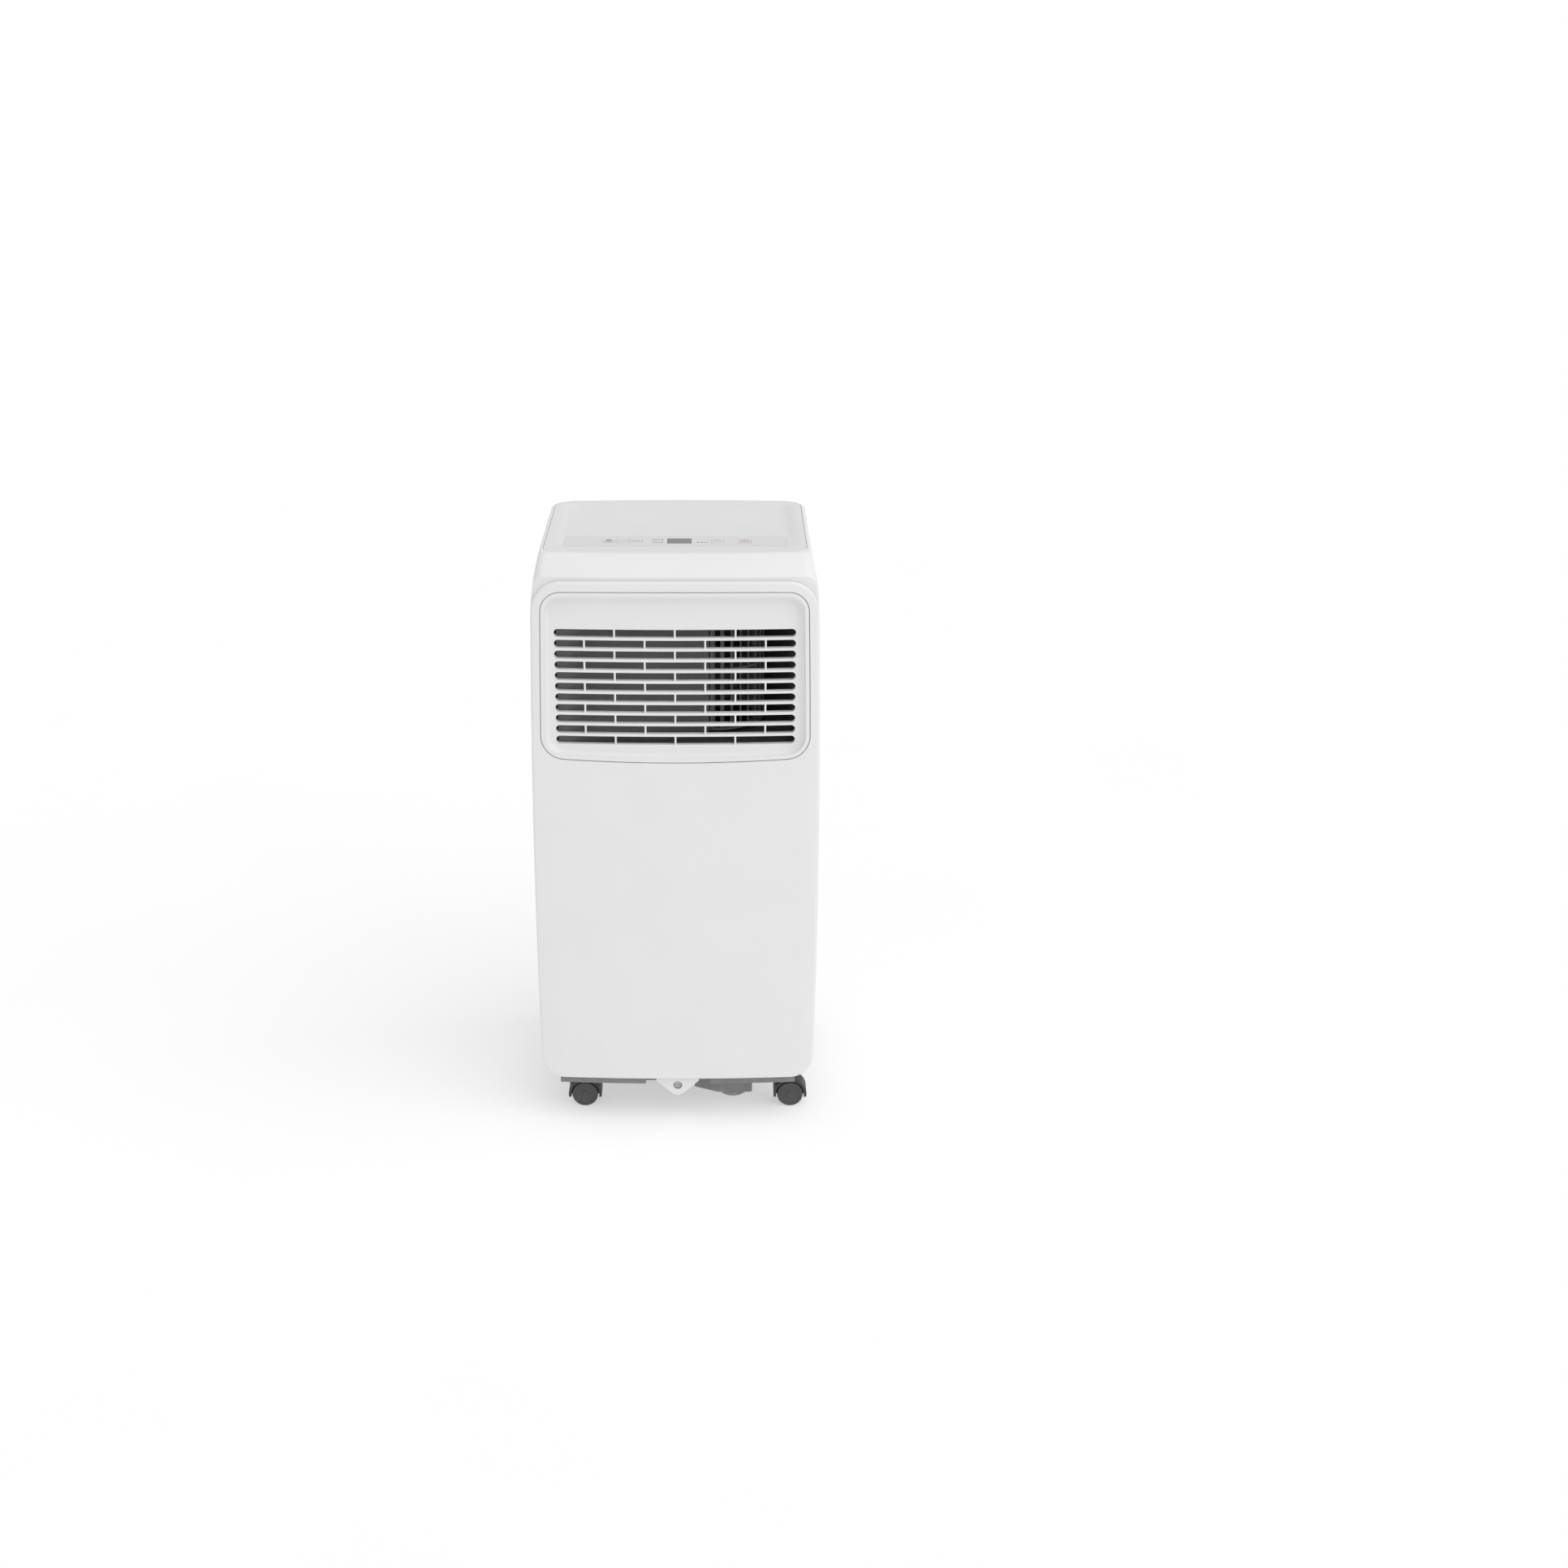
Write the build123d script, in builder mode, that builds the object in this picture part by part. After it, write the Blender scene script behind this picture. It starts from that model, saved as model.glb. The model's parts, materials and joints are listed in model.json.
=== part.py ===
from build123d import *

import os
from math import cos, radians, sin, sqrt

# Compact portable air conditioner on four twin-wheel casters.
# Millimetres, +Z up, front towards -Y, origin on the floor under the middle of the casing.
# Room air is drawn through the filter at the top of the back and over the evaporator, and a
# blower on a vertical shaft throws it out of the slotted grille at the top of the front.
# The compressor, the condenser and the exhaust blower share the lower half, and the warm air
# leaves through the round collar in the middle of the back.

os.makedirs("parts", exist_ok=True)

# ---- casing
overall_height = 706.0
overall_depth = 310.0
panel_half_width = 167.6  # front panel at its widest
barrel_mid_z = 340.0  # height at which the casing is widest
barrel_radius = 12500.0  # the sides bulge on this radius
bow_radius = 2000.0  # front and back are bowed in plan on this radius
wall = 2.5  # moulded wall
seam = 0.4  # gap between two mouldings
side_proud = 1.0  # the casing's sides stand this far outside the front panel
collar_proud = 5.0  # the exhaust collar stands this far behind the back
front_corner_radius = 26.0
front_overrun = 6.0  # the sides' rounding starts this far ahead of the front
rear_corner_radius = 32.0
slope_rise = 26.0  # height of the sloping band above the front panel
slope_run = 31.0  # distance from the front to the flat top
slope_swell = 0.8
slope_inset_run = (0.3, 0.4)  # how the slope's inner face steps back at its foot and top
slope_start_drop = 5.0  # the band would meet the front this far below the panel's top
front_flange = 9.0  # casing's edge behind the front panel
top_edge_radius = 3.4
shoulder_height = 76.0  # the sides lean in above this far below the top
shoulder_lean = 7.9
slope_side_radius = 12.0
under_radius = 28.0  # lower edges of the sides
rear_seam_gap = 32.0  # the back cover wraps this far round the sides
rear_top_drop = 14.0  # the back cover stops this far below the top

# ---- casters
wheel_radius = 16.0
wheel_width = 8.5
wheel_gap = 7.0  # between the two wheels of a caster
axle_radius = 2.5
axle_end_gap = 0.5
caster_trail = 11.6
stem_radius = 4.0
stem_collar = (6.0, 3.6)  # radius, height above the hood
stem_margin = 40.6  # stems inside the front panel's widest edge
stem_setback = 48.0  # stems behind the front and ahead of the back
hood_radius = 20.5
hood_clearance = 1.4  # between a wheel and its hood
hood_leg_z = 12.5
hood_crown = 8.0  # the hood's seat above the wheels
hood_neck_radius = 8.0
fit = 0.05  # radial play of a shaft in its bore

# ---- base pan
pan_gap = 6.0  # above the hoods
skirt = 9.0  # casing edge above the underside of the pan
pan_floor = 3.0
pan_wall_height = 40.0
pan_foot_margin = 31.6  # flat underside of the pan inside the panel's widest edge
pan_side_rise = 13.5  # the pan widens this far above its underside
pan_side_slope = 0.8  # rise of the widening over its run
pan_margin = 3.0  # inside the casing's walls
pan_setback = 16.0
pan_rear_gap = 20.0
pan_corner = 24.0
rail_inner = 39.0
rail_margin = 24.1  # ends of the front rails inside the panel's widest edge
rail_depths = (8.5, 20.0)
rail_drop = 1.0
rail_rise = 14.0
rail_round = 3.0
well_depths = (36.0, 96.0)
well_left = 20.5
well_right = 91.5
well_knee = 49.0
well_drop = 19.0  # lower end of the well's left side under the pan
well_floor_drop = 26.5
bowl_at = (68.0, 56.0)  # x, and depth behind the front
bowl_radius = 19.0
bowl_drop = 35.5
bowl_round = 8.0

# ---- front panel
panel_crown = 1.2  # rise of its top edge in the middle
panel_rim_depth = 7.0
panel_top_radius = 35.0
panel_bottom_radius = 28.0
panel_edge_round = 3.0
panel_lip = 4.3
lug_half_width = 26.0
lug_shoulder_drop = 5.5
lug_vertex_drop = 28.5
lug_tip_radius = 11.0
lug_depths = (8.0, 14.0)
lug_hole_drop = 12.0
lug_counterbore = (5.4, 4.5)  # radius, depth
screw_radius = 2.2
screw_head = (4.3, 2.6)  # radius, height
cross_size = (5.6, 1.1)
screw_clearance = 0.3

# ---- outlet grille
frame_inset = 10.3  # opening inside the panel's side edges
frame_top_gap = 11.0
frame_height = 205.0
frame_sag = 4.5  # the opening's lower edge curves down by this much
frame_top_corner = 24.0
frame_bottom_corner = 28.0
grille_gap = 1.1
grille_rim = 4.2
grille_sink = 0.4
grille_flange = 3.6
recess_depth = 9.0
recess_round = 6.5
grille_plate = 3.0
grille_depth = 16.0  # back edge of the bars
slot_count = 11
slot_pitch = 12.85
slot_height = 9.7
slot_margin = 29.0  # ends of the slots inside the panel's widest edge
slot_top_gap = 51.6
rib_width = 2.0
ribs_per_slot = 4

# ---- top cover and controls
deck_thickness = 6.0
deck_floor = 3.0
deck_margin = 16.3
deck_front_gap = 34.0
deck_rear_gap = 10.0
deck_corner = 20.0
deck_ledge = (6.0, 2.6)  # width under the deck's edge, thickness
tray_margins = (27.6, 36.1)  # upper and lower outline of the soft-walled recess
tray_fronts = (61.0, 78.5)
tray_rear_gaps = (19.0, 31.0)
tray_corners = (18.0, 11.0)
strip_margin = 38.1
strip_front = 79.5
strip_length = 46.0
strip_corner = 7.0
strip_thickness = 1.2
strip_proud = 0.15
strip_gap = 0.2
window_size = (28.4, 24.6)
window_at = (4.3, 101.7)  # x, depth behind the front
key_depth = 101.7
key_size = (14.0, 18.0)
key_corner = 3.0
key_gap = 0.3
key_flange = (0.6, 1.2)  # overhang, thickness
key_travel = 0.5
key_stem = 5.0
key_places = {"mode": -78.0, "fan": -62.0, "down": -46.0, "up": 49.0, "power": 80.5}
key_bays = ((-90.0, -34.0), (38.0, 92.0))
key_bay_length = 22.0
board_drop = 10.0  # top of the circuit board under the top of the casing
board_thickness = 1.6
board_size = (220.0, 34.0)
switch_height = 1.2

# ---- carrying grips
grip_drop = 106.0  # centre below the top
grip_opening = (112.0, 70.0)
grip_corner = 20.0
grip_wall = 2.0
grip_rim = 3.5
grip_face_x = 0.6  # outer face outside the panel's widest edge
grip_pocket = 20.0

# ---- upper compartment
tray_gap = 22.0  # condensate tray below the grille opening
tray_floor = 3.0
tray_rim = 9.0
tray_clearance = 5.0
tray_front = 24.0
scroll_lift = 35.0  # scroll floor above the tray
scroll_height = 163.0
scroll_start = 67.0
scroll_growth = 25.0
scroll_eye = 48.0
scroll_ends = 148.0  # half the width of the outlet
tongue_nose = (19.0, 41.0)
tongue_depth = 47.0
blower_at = (42.7, 120.0)  # x, depth behind the front
blower_radius = 61.5
blower_ring = 10.0
blower_height = 148.0
blower_lift = 8.0
blower_blades = 31
blade_length = 11.0
blade_thickness = 1.4
blade_tilt = 35.0
scroll_angles = (267.0, 245.0)  # where the spiral starts, on its inner and outer face
scroll_steps = 10
plate_thickness = 2.5
hub_radius = 11.0
hub_length = 18.0
shaft_radius = 4.0
motor_radius = 36.0
motor_seat_radius = 27.0
motor_length = 45.0
motor_gap = 0.5
spider_width = 12.0

# ---- lower compartment
fan_x = 52.0
fan_lift = 144.0  # shaft above the underside of the pan
fan_radius = 56.0
fan_width = 42.0
fan_blades = 28
fan_start = 62.0
fan_growth = 22.0
fan_eye = 40.0
fan_angles = (100.0, 115.0)  # where the spiral starts, on its inner and outer face
fan_side_gap = 3.5
duct_margin = 16.0  # half the duct's width beyond the collar's sleeve
duct_top_gap = 4.0
duct_left_inset = 16.5  # the duct's left wall inside that
duct_shoulder_gap = 6.0  # below the collar's sleeve
condenser_gap = 26.0  # exhaust blower ahead of the condenser
compressor_margin = 85.6
compressor_depth = 110.0
compressor_radius = 54.0
compressor_height = 206.0
compressor_dome = 24.0
mount_radius = 9.0
mount_height = 13.0
mount_ring = 40.0
accumulator_offset = (-14.0, 79.0)
accumulator_radius = 22.0
accumulator_lift = 34.0
accumulator_height = 136.0
box_size = (54.0, 55.0, 94.0)
box_margin = 17.6
box_depth = 30.0
box_lift = 47.0

# ---- heat exchangers
coil_margin = 42.6
fin_pitch = 6.0
fin_thickness = 1.6
fin_core = 5.0
tube_radius = 3.5
tube_rise = 24.0
tube_overhang = 6.0
tube_play = 0.1
evaporator_thickness = 24.0
evaporator_gap = 32.0
evaporator_lift = 10.0
evaporator_rows = 7
condenser_thickness = 28.0
condenser_back_gap = 30.0
condenser_lift = 32.0
condenser_gap_above = 3.0  # below the exhaust collar
line_radius = 4.0
line_bend = 14.0
link_bend = 6.4  # between the accumulator and the compressor
line_margin = 15.1  # vertical runs inside the panel's widest edge
line_hole = 5.2

# ---- back
pocket_depth = 12.5
pocket_gap = 0.5
pocket_ledge = 8.0
filter_margin = 49.6
filter_height = 170.0
filter_lift = 20.0
intake_gap = 5.0  # below the pad around the collar
intake_lift = 43.0
filter_depth = 7.0
filter_border = 8.0
filter_corner = 4.0
slat_pitch = 11.0
slat_height = 4.6
slat_depth = 4.0
mesh_thickness = 0.8
mesh_gap = 0.4
filter_stiles = 3
stile_width = 5.0
collar_x = 38.0
collar_gap = 2.0  # between the collar and the condensate tray
collar_bore = 63.0
collar_wall = 3.0
collar_flange = 6.0
collar_pad = 9.0
drain_margin = 63.6
drain_drop = 10.0
drain_rise = 15.0
drain_cup = (13.5, 13.5)  # radius, depth
spout_radius = 8.0
spout_bore = 5.5
spout_sink = 5.0
cap_radius = 10.5
cap_height = 4.0
cap_plug = 7.0
cap_finger = (3.5, 10.5)  # hollows that leave a bar to turn
cap_finger_x = 5.8
gland_margin = 55.6
gland_rise = 21.0
gland_radii = (3.6, 6.8, 9.5)
rear_screw_margin = 39.6
rear_screw_rises = (60.0, 275.0)
rear_screw_drop = 34.0
spot_face = (5.4, 2.8)  # radius, depth
rear_screw_length = 9.0

# ---- places that follow from the above
front_y = -overall_depth / 2
back_y = overall_depth / 2 - collar_proud
bow_axis_y = front_y + bow_radius
back_axis_y = back_y - bow_radius
casing_half_width = panel_half_width + side_proud
hood_top_z = 2 * wheel_radius + hood_crown
pan_floor_z = hood_top_z + pan_gap
ground_gap = pan_floor_z + skirt
pan_rim_z = pan_floor_z + pan_wall_height
panel_top_z = overall_height - slope_rise
frame_top_z = panel_top_z - frame_top_gap
frame_bottom_z = frame_top_z - frame_height
slot_half_length = panel_half_width - slot_margin
tray_z = frame_bottom_z - tray_gap
scroll_floor_z = tray_z + scroll_lift
scroll_ceiling_z = scroll_floor_z + scroll_height
rear_seam_y = back_y - rear_seam_gap
rear_top_z = overall_height - rear_top_drop
blower_y = front_y + blower_at[1]
sleeve_radius = collar_bore + collar_wall
collar_z = tray_z - collar_gap - sleeve_radius
condenser_back_y = back_y - condenser_back_gap
fan_back_y = condenser_back_y - condenser_thickness - condenser_gap
fan_front_y = fan_back_y - fan_width - 2 * fan_side_gap - 2 * plate_thickness
fan_z = pan_floor_z + fan_lift
reach = 2 * overall_height  # longer than anything that is cut


def half_width(z, widest=panel_half_width):
    """Half the width of the barrel-shaped casing at height z."""
    return widest - (z - barrel_mid_z) ** 2 / (2 * barrel_radius)


def deep(depth):
    """Y of a point that lies depth behind the crest of the bowed front."""
    return front_y + depth


def bow_y(depth, x):
    """Y at x of the bowed surface that lies depth behind the front."""
    return bow_axis_y - sqrt((bow_radius - depth) ** 2 - x * x)


def back_bow_y(x):
    """Y of the bowed back at x."""
    return back_axis_y + sqrt(bow_radius**2 - x * x)


def bowed_slab(near, far):
    """Upright slab between two surfaces, near and far behind the bowed front."""
    span = 1.5 * panel_half_width
    with BuildPart() as slab:
        with BuildSketch(Plane.XY):
            with BuildLine():
                left_near = (-span, bow_y(near, span))
                right_near = (span, bow_y(near, span))
                right_far = (span, bow_y(far, span))
                left_far = (-span, bow_y(far, span))
                ThreePointArc(left_near, (0, bow_y(near, 0)), right_near)
                Line(right_near, right_far)
                ThreePointArc(right_far, (0, bow_y(far, 0)), left_far)
                Line(left_far, left_near)
            make_face()
        extrude(amount=reach)
    return slab.part


def along_y(outline, y_low, y_high):
    """Prism of a front-view outline between two depths."""
    with BuildPart() as prism:
        with BuildSketch(Plane.XZ.offset(-y_high)):
            add(outline)
        extrude(amount=y_high - y_low)
    return prism.part


def along_z(outline, z_low, z_high):
    """Prism of a plan outline between two heights."""
    with BuildPart() as prism:
        with BuildSketch(Plane.XY.offset(z_low)):
            add(outline)
        extrude(amount=z_high - z_low)
    return prism.part


def along_x(outline, x_low, x_high):
    """Prism of a side-view outline between two widths."""
    with BuildPart() as prism:
        with BuildSketch(Plane.YZ.offset(x_low)):
            add(outline)
        extrude(amount=x_high - x_low)
    return prism.part


def block(x, y, z):
    """Box between two x, two y and two z values."""
    with BuildPart() as result:
        with Locations(((x[0] + x[1]) / 2, (y[0] + y[1]) / 2, (z[0] + z[1]) / 2)):
            Box(x[1] - x[0], y[1] - y[0], z[1] - z[0])
    return result.part


def rod_y(x, z, radius, y_low, y_high):
    """Cylinder along Y."""
    with BuildPart() as result:
        with BuildSketch(Plane.XZ.offset(-y_high)):
            with Locations((x, z)):
                Circle(radius)
        extrude(amount=y_high - y_low)
    return result.part


def rod_z(x, y, radius, z_low, z_high):
    """Cylinder along Z."""
    with BuildPart() as result:
        with BuildSketch(Plane.XY.offset(z_low)):
            with Locations((x, y)):
                Circle(radius)
        extrude(amount=z_high - z_low)
    return result.part


def panel_of(centre, size, radius):
    """Rounded rectangle as an outline around a centre."""
    with BuildSketch() as outline:
        with Locations(centre):
            RectangleRounded(size[0], size[1], radius)
    return outline.sketch


def grown(outline, amount):
    """The outline grown, or shrunk where amount is negative."""
    with BuildSketch() as result:
        add(outline)
        offset(amount=amount, kind=Kind.ARC, mode=Mode.REPLACE)
    return result.sketch


def barrel_outline(widest, top_z, bottom_z, corners, sag, inset):
    """Front-view outline with bulging sides and rounded corners, shrunk by inset."""
    widest = widest - inset
    top_z = top_z - inset
    bottom_z = bottom_z + inset
    middle_z = (top_z + bottom_z) / 2
    top_x = half_width(top_z, widest)
    middle_x = half_width(middle_z, widest)
    bottom_x = half_width(bottom_z, widest)
    top_right = (top_x, top_z - panel_crown)
    top_left = (-top_x, top_z - panel_crown)
    bottom_right = (bottom_x, bottom_z + sag)
    bottom_left = (-bottom_x, bottom_z + sag)
    with BuildSketch() as outline:
        with BuildLine():
            ThreePointArc(top_left, (0, top_z), top_right)
            ThreePointArc(top_right, (middle_x, middle_z), bottom_right)
            if sag:
                ThreePointArc(bottom_right, (0, bottom_z), bottom_left)
            else:
                Line(bottom_right, bottom_left)
            ThreePointArc(bottom_left, (-middle_x, middle_z), top_left)
        make_face()
        fillet(outline.vertices().group_by(Axis.Y)[-1], corners[0] - inset)
        fillet(outline.vertices().group_by(Axis.Y)[0], corners[1] - inset)
    return outline.sketch


def save(piece, name):
    """Label a finished piece and write its file."""
    piece.part.label = name
    export_step(piece.part, f"parts/{name}.step")


def panel_outline(inset=0.0):
    """Outline of the front panel, shrunk by inset."""
    corners = (panel_top_radius, panel_bottom_radius)
    return barrel_outline(panel_half_width, panel_top_z, ground_gap, corners, 0.0, inset)


def frame_outline(inset=0.0):
    """Outline of the opening for the outlet grille, shrunk by inset."""
    corners = (frame_top_corner, frame_bottom_corner)
    widest = panel_half_width - frame_inset
    return barrel_outline(widest, frame_top_z, frame_bottom_z, corners, frame_sag, inset)


# ---- the whole casing, as a solid and as its inside
under_z = ground_gap + under_radius
under_x = half_width(under_z, casing_half_width) - under_radius


def under_corners(inset):
    """Front view of what the rounded lower edges leave out of the casing, shrunk by inset."""
    with BuildSketch() as cut:
        for side in (-1, 1):
            with Locations((side * (under_x + under_radius), under_z - under_radius)):
                Rectangle(2 * under_radius, 2 * under_radius)
            with Locations((side * under_x, under_z)):
                Circle(under_radius - inset, mode=Mode.SUBTRACT)
    return cut.sketch


def is_slope_side(edge):
    """Whether an edge of the casing runs up a side of the sloping band."""
    box = edge.bounding_box()
    steep = slope_rise / 3 < box.size.Z < 2 * slope_rise
    return steep and box.size.Y > slope_run / 3 and box.min.Z > panel_top_z - 2 * slope_start_drop


def casing_form(inset):
    """Solid shape of the casing behind the front panel, shrunk by inset."""
    widest = casing_half_width - inset
    top = overall_height - inset
    bottom = ground_gap + inset
    shoulder = overall_height - shoulder_height
    middle = (shoulder + bottom) / 2
    lean = shoulder_lean * (1 - inset / shoulder_height) ** 2
    nose_y = deep(inset - front_overrun)
    tail_y = back_y - inset
    with BuildSketch() as front_view:
        with BuildLine():
            heights = (bottom, middle, shoulder, top)
            bottom_x, middle_x, shoulder_x, top_x = (half_width(z, widest) for z in heights)
            top_x = top_x - lean
            right = ThreePointArc((bottom_x, bottom), (middle_x, middle), (shoulder_x, shoulder))
            TangentArc(right @ 1, (top_x, top), tangent=right % 1)
            left = ThreePointArc((-bottom_x, bottom), (-middle_x, middle), (-shoulder_x, shoulder))
            TangentArc(left @ 1, (-top_x, top), tangent=left % 1)
            Line((-top_x, top), (top_x, top))
            Line((-bottom_x, bottom), (bottom_x, bottom))
        make_face()
    with BuildSketch() as plan:
        with BuildLine():
            span = casing_half_width + wall
            side_y = back_axis_y + sqrt((bow_radius - inset) ** 2 - span**2)
            ThreePointArc((-span, side_y), (0, tail_y), (span, side_y))
            Polyline((span, side_y), (span, nose_y), (-span, nose_y), (-span, side_y))
        make_face()
    with BuildPart() as form:
        add(along_y(front_view.sketch, nose_y, tail_y))
        add(along_z(plan.sketch, 0, reach), mode=Mode.INTERSECT)
        uprights = form.edges().filter_by(lambda e: e.bounding_box().size.Z > overall_height / 2)
        fillet(uprights.filter_by(lambda e: e.center().Y > 0), rear_corner_radius - inset)
        uprights = form.edges().filter_by(lambda e: e.bounding_box().size.Z > overall_height / 2)
        fillet(uprights.group_by(Axis.Y)[0], front_corner_radius - inset)
        # the sloping band above the front panel follows the bow of the front
        near = (deep(inset * slope_inset_run[0]), panel_top_z - slope_start_drop - inset)
        far = (deep(slope_run + inset * slope_inset_run[1]), top)
        swell = ((near[0] + far[0]) / 2 - slope_swell, (near[1] + far[1]) / 2 + slope_swell)
        with BuildSketch(Plane.YZ):
            with BuildLine():
                ThreePointArc(near, swell, far)
                Polyline(far, (far[0], top + slope_rise), (deep(-overall_depth), top + slope_rise))
                Polyline((deep(-overall_depth), top + slope_rise), (deep(-overall_depth), near[1]), near)
            make_face()
        revolve(axis=Axis((0, bow_axis_y, 0), (0, 0, 1)), mode=Mode.SUBTRACT)
        fillet(form.edges().filter_by(is_slope_side), slope_side_radius - inset)
        rim = form.faces().sort_by(Axis.Z)[-1].edges().sort_by(Axis.Y)
        fillet(rim[1:], top_edge_radius - inset)
        add(along_y(under_corners(inset), nose_y - reach, reach), mode=Mode.SUBTRACT)
    return form.part


everywhere = (-reach, reach)
casing_outer = casing_form(0.0)
casing_inner = casing_form(wall) - bowed_slab(-overall_depth, panel_rim_depth + seam + wall)
ahead_of_casing = bowed_slab(-overall_depth, panel_rim_depth + seam)
front_hole = along_y(panel_outline(front_flange), front_y - reach, deep(overall_depth / 4))
flange_x = panel_half_width - 2 * front_flange
bottom_hole = block((-flange_x, flange_x), (front_y - reach, deep(overall_depth / 4)), (0, tray_z))
pan_hole_y = back_bow_y(flange_x) - wall - seam
pan_hole = block((-flange_x, flange_x), (front_y - reach, pan_hole_y), (0, under_z))
casing_shell = casing_outer - casing_inner - ahead_of_casing - front_hole - bottom_hole - pan_hole


# ---- front panel
with BuildPart() as front_panel:
    add(along_y(panel_outline(), front_y - wall, front_y + 2 * panel_rim_depth))
    add(bowed_slab(0, panel_rim_depth), mode=Mode.INTERSECT)
    fillet(front_panel.faces().sort_by(Axis.Y)[0].edges(), panel_edge_round)
    hollow = along_y(panel_outline(panel_lip), front_y - wall, back_y)
    add(hollow & bowed_slab(wall, overall_depth), mode=Mode.SUBTRACT)
    add(along_y(frame_outline(), front_y - wall, back_y), mode=Mode.SUBTRACT)
    # lug that screws the panel to the pan
    add(
        block(
            (-lug_half_width, lug_half_width),
            (deep(panel_rim_depth - 2), deep(lug_depths[1])),
            (ground_gap, ground_gap + panel_lip),
        )
    )
    with BuildSketch(Plane.XZ.offset(-deep(lug_depths[0]))):
        with BuildLine():
            Polyline(
                (-lug_half_width, ground_gap + panel_lip),
                (-lug_half_width, ground_gap - lug_shoulder_drop),
                (0, ground_gap - lug_vertex_drop),
                (lug_half_width, ground_gap - lug_shoulder_drop),
                (lug_half_width, ground_gap + panel_lip),
                close=True,
            )
        make_face()
        fillet(vertices().group_by(Axis.Y)[0], lug_tip_radius)
        outermost = vertices().filter_by(lambda v: abs(abs(v.X) - lug_half_width) < seam)
        fillet(outermost.group_by(Axis.Y)[0], wall)
    extrude(amount=lug_depths[0] - lug_depths[1])
    lug_hole_z = ground_gap - lug_hole_drop
    hole_end = deep(lug_depths[0] + lug_counterbore[1])
    add(rod_y(0, lug_hole_z, lug_counterbore[0], front_y, hole_end), mode=Mode.SUBTRACT)
    add(rod_y(0, lug_hole_z, screw_radius + screw_clearance, front_y, back_y), mode=Mode.SUBTRACT)
save(front_panel, "front_panel")


# ---- outlet grille
def slot_rows():
    """Front-view sketch of the slots, with their ribs left out in a brick pattern."""
    rib_pitch = 2 * slot_half_length / ribs_per_slot
    slot_top_z = frame_top_z - slot_top_gap
    with BuildSketch() as rows:
        for row in range(slot_count):
            row_z = slot_top_z - row * slot_pitch
            with Locations((0, row_z)):
                SlotOverall(2 * slot_half_length, slot_height)
            shift = 0.5 * (row % 2)
            places = [rib_pitch * (k + shift) for k in range(-2, 3)]
            inside = [x for x in places if abs(x) < slot_half_length - slot_height]
            with Locations([(x, row_z) for x in inside]):
                Rectangle(rib_width, slot_height + 1, mode=Mode.SUBTRACT)
    return rows.sketch


slot_field_height = (slot_count - 1) * slot_pitch + slot_height
slot_field_z = frame_top_z - slot_top_gap - (slot_count - 1) * slot_pitch / 2

with BuildPart() as recess:
    add(along_y(frame_outline(grille_gap + grille_rim), front_y - wall, front_y + 2 * recess_depth))
    add(bowed_slab(-wall, recess_depth), mode=Mode.INTERSECT)
    fillet(recess.faces().sort_by(Axis.Y)[-1].edges(), recess_round)

with BuildPart() as outlet_grille:
    add(along_y(frame_outline(grille_gap), front_y, front_y + 2 * grille_depth))
    add(bowed_slab(grille_sink, recess_depth + grille_plate), mode=Mode.INTERSECT)
    flange = along_y(frame_outline(-grille_flange), front_y, front_y + 2 * grille_depth)
    add(flange & bowed_slab(wall + seam, wall + seam + grille_plate))
    add(recess.part, mode=Mode.SUBTRACT)
    bars = panel_of(
        (0, slot_field_z),
        (2 * slot_half_length + slot_height, slot_field_height + slot_height),
        slot_height,
    )
    add(along_y(bars, front_y, front_y + 2 * grille_depth) & bowed_slab(recess_depth, grille_depth))
    add(along_y(slot_rows(), front_y - wall, back_y), mode=Mode.SUBTRACT)
save(outlet_grille, "outlet_grille")


# ---- casing
def deck_plan(inset=0.0):
    """Plan of the top cover, with bowed front and back, shrunk by inset."""
    half = panel_half_width - deck_margin - inset
    near_y = bow_y(deck_front_gap + inset, half)
    far_y = back_bow_y(half) - deck_rear_gap - inset
    with BuildSketch() as plan:
        with BuildLine():
            ThreePointArc((-half, near_y), (0, deep(deck_front_gap + inset)), (half, near_y))
            Line((half, near_y), (half, far_y))
            ThreePointArc((half, far_y), (0, back_y - deck_rear_gap - inset), (-half, far_y))
            Line((-half, far_y), (-half, near_y))
        make_face()
        fillet(plan.vertices(), deck_corner - inset)
    return plan.sketch


deck_bottom_z = overall_height - deck_thickness
grip_z = overall_height - grip_drop
grip_outer = (grip_opening[0] + 2 * grip_wall, grip_opening[1] + 2 * grip_wall)
grip_hole = panel_of(
    (0, grip_z),
    (grip_outer[0] + 2 * pocket_gap, grip_outer[1] + 2 * pocket_gap),
    grip_corner + grip_wall + pocket_gap,
)

with BuildPart() as body_shell:
    add(casing_shell & block(everywhere, (front_y - reach, rear_seam_y), (0, reach)))
    add(casing_shell & block(everywhere, (rear_seam_y - wall, reach), (rear_top_z + seam, reach)))
    add(along_z(deck_plan(-seam), deck_bottom_z - wall, reach), mode=Mode.SUBTRACT)
    ledge_z = (deck_bottom_z - deck_ledge[1], deck_bottom_z)
    ledge = block((-casing_half_width, casing_half_width), (deep(slope_run), back_y), ledge_z) & casing_inner
    ledge_hole = along_z(deck_plan(deck_ledge[0]), 0, reach)
    add(ledge - ledge_hole)
    add(along_x(grip_hole, -reach, reach), mode=Mode.SUBTRACT)
save(body_shell, "body_shell")

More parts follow.
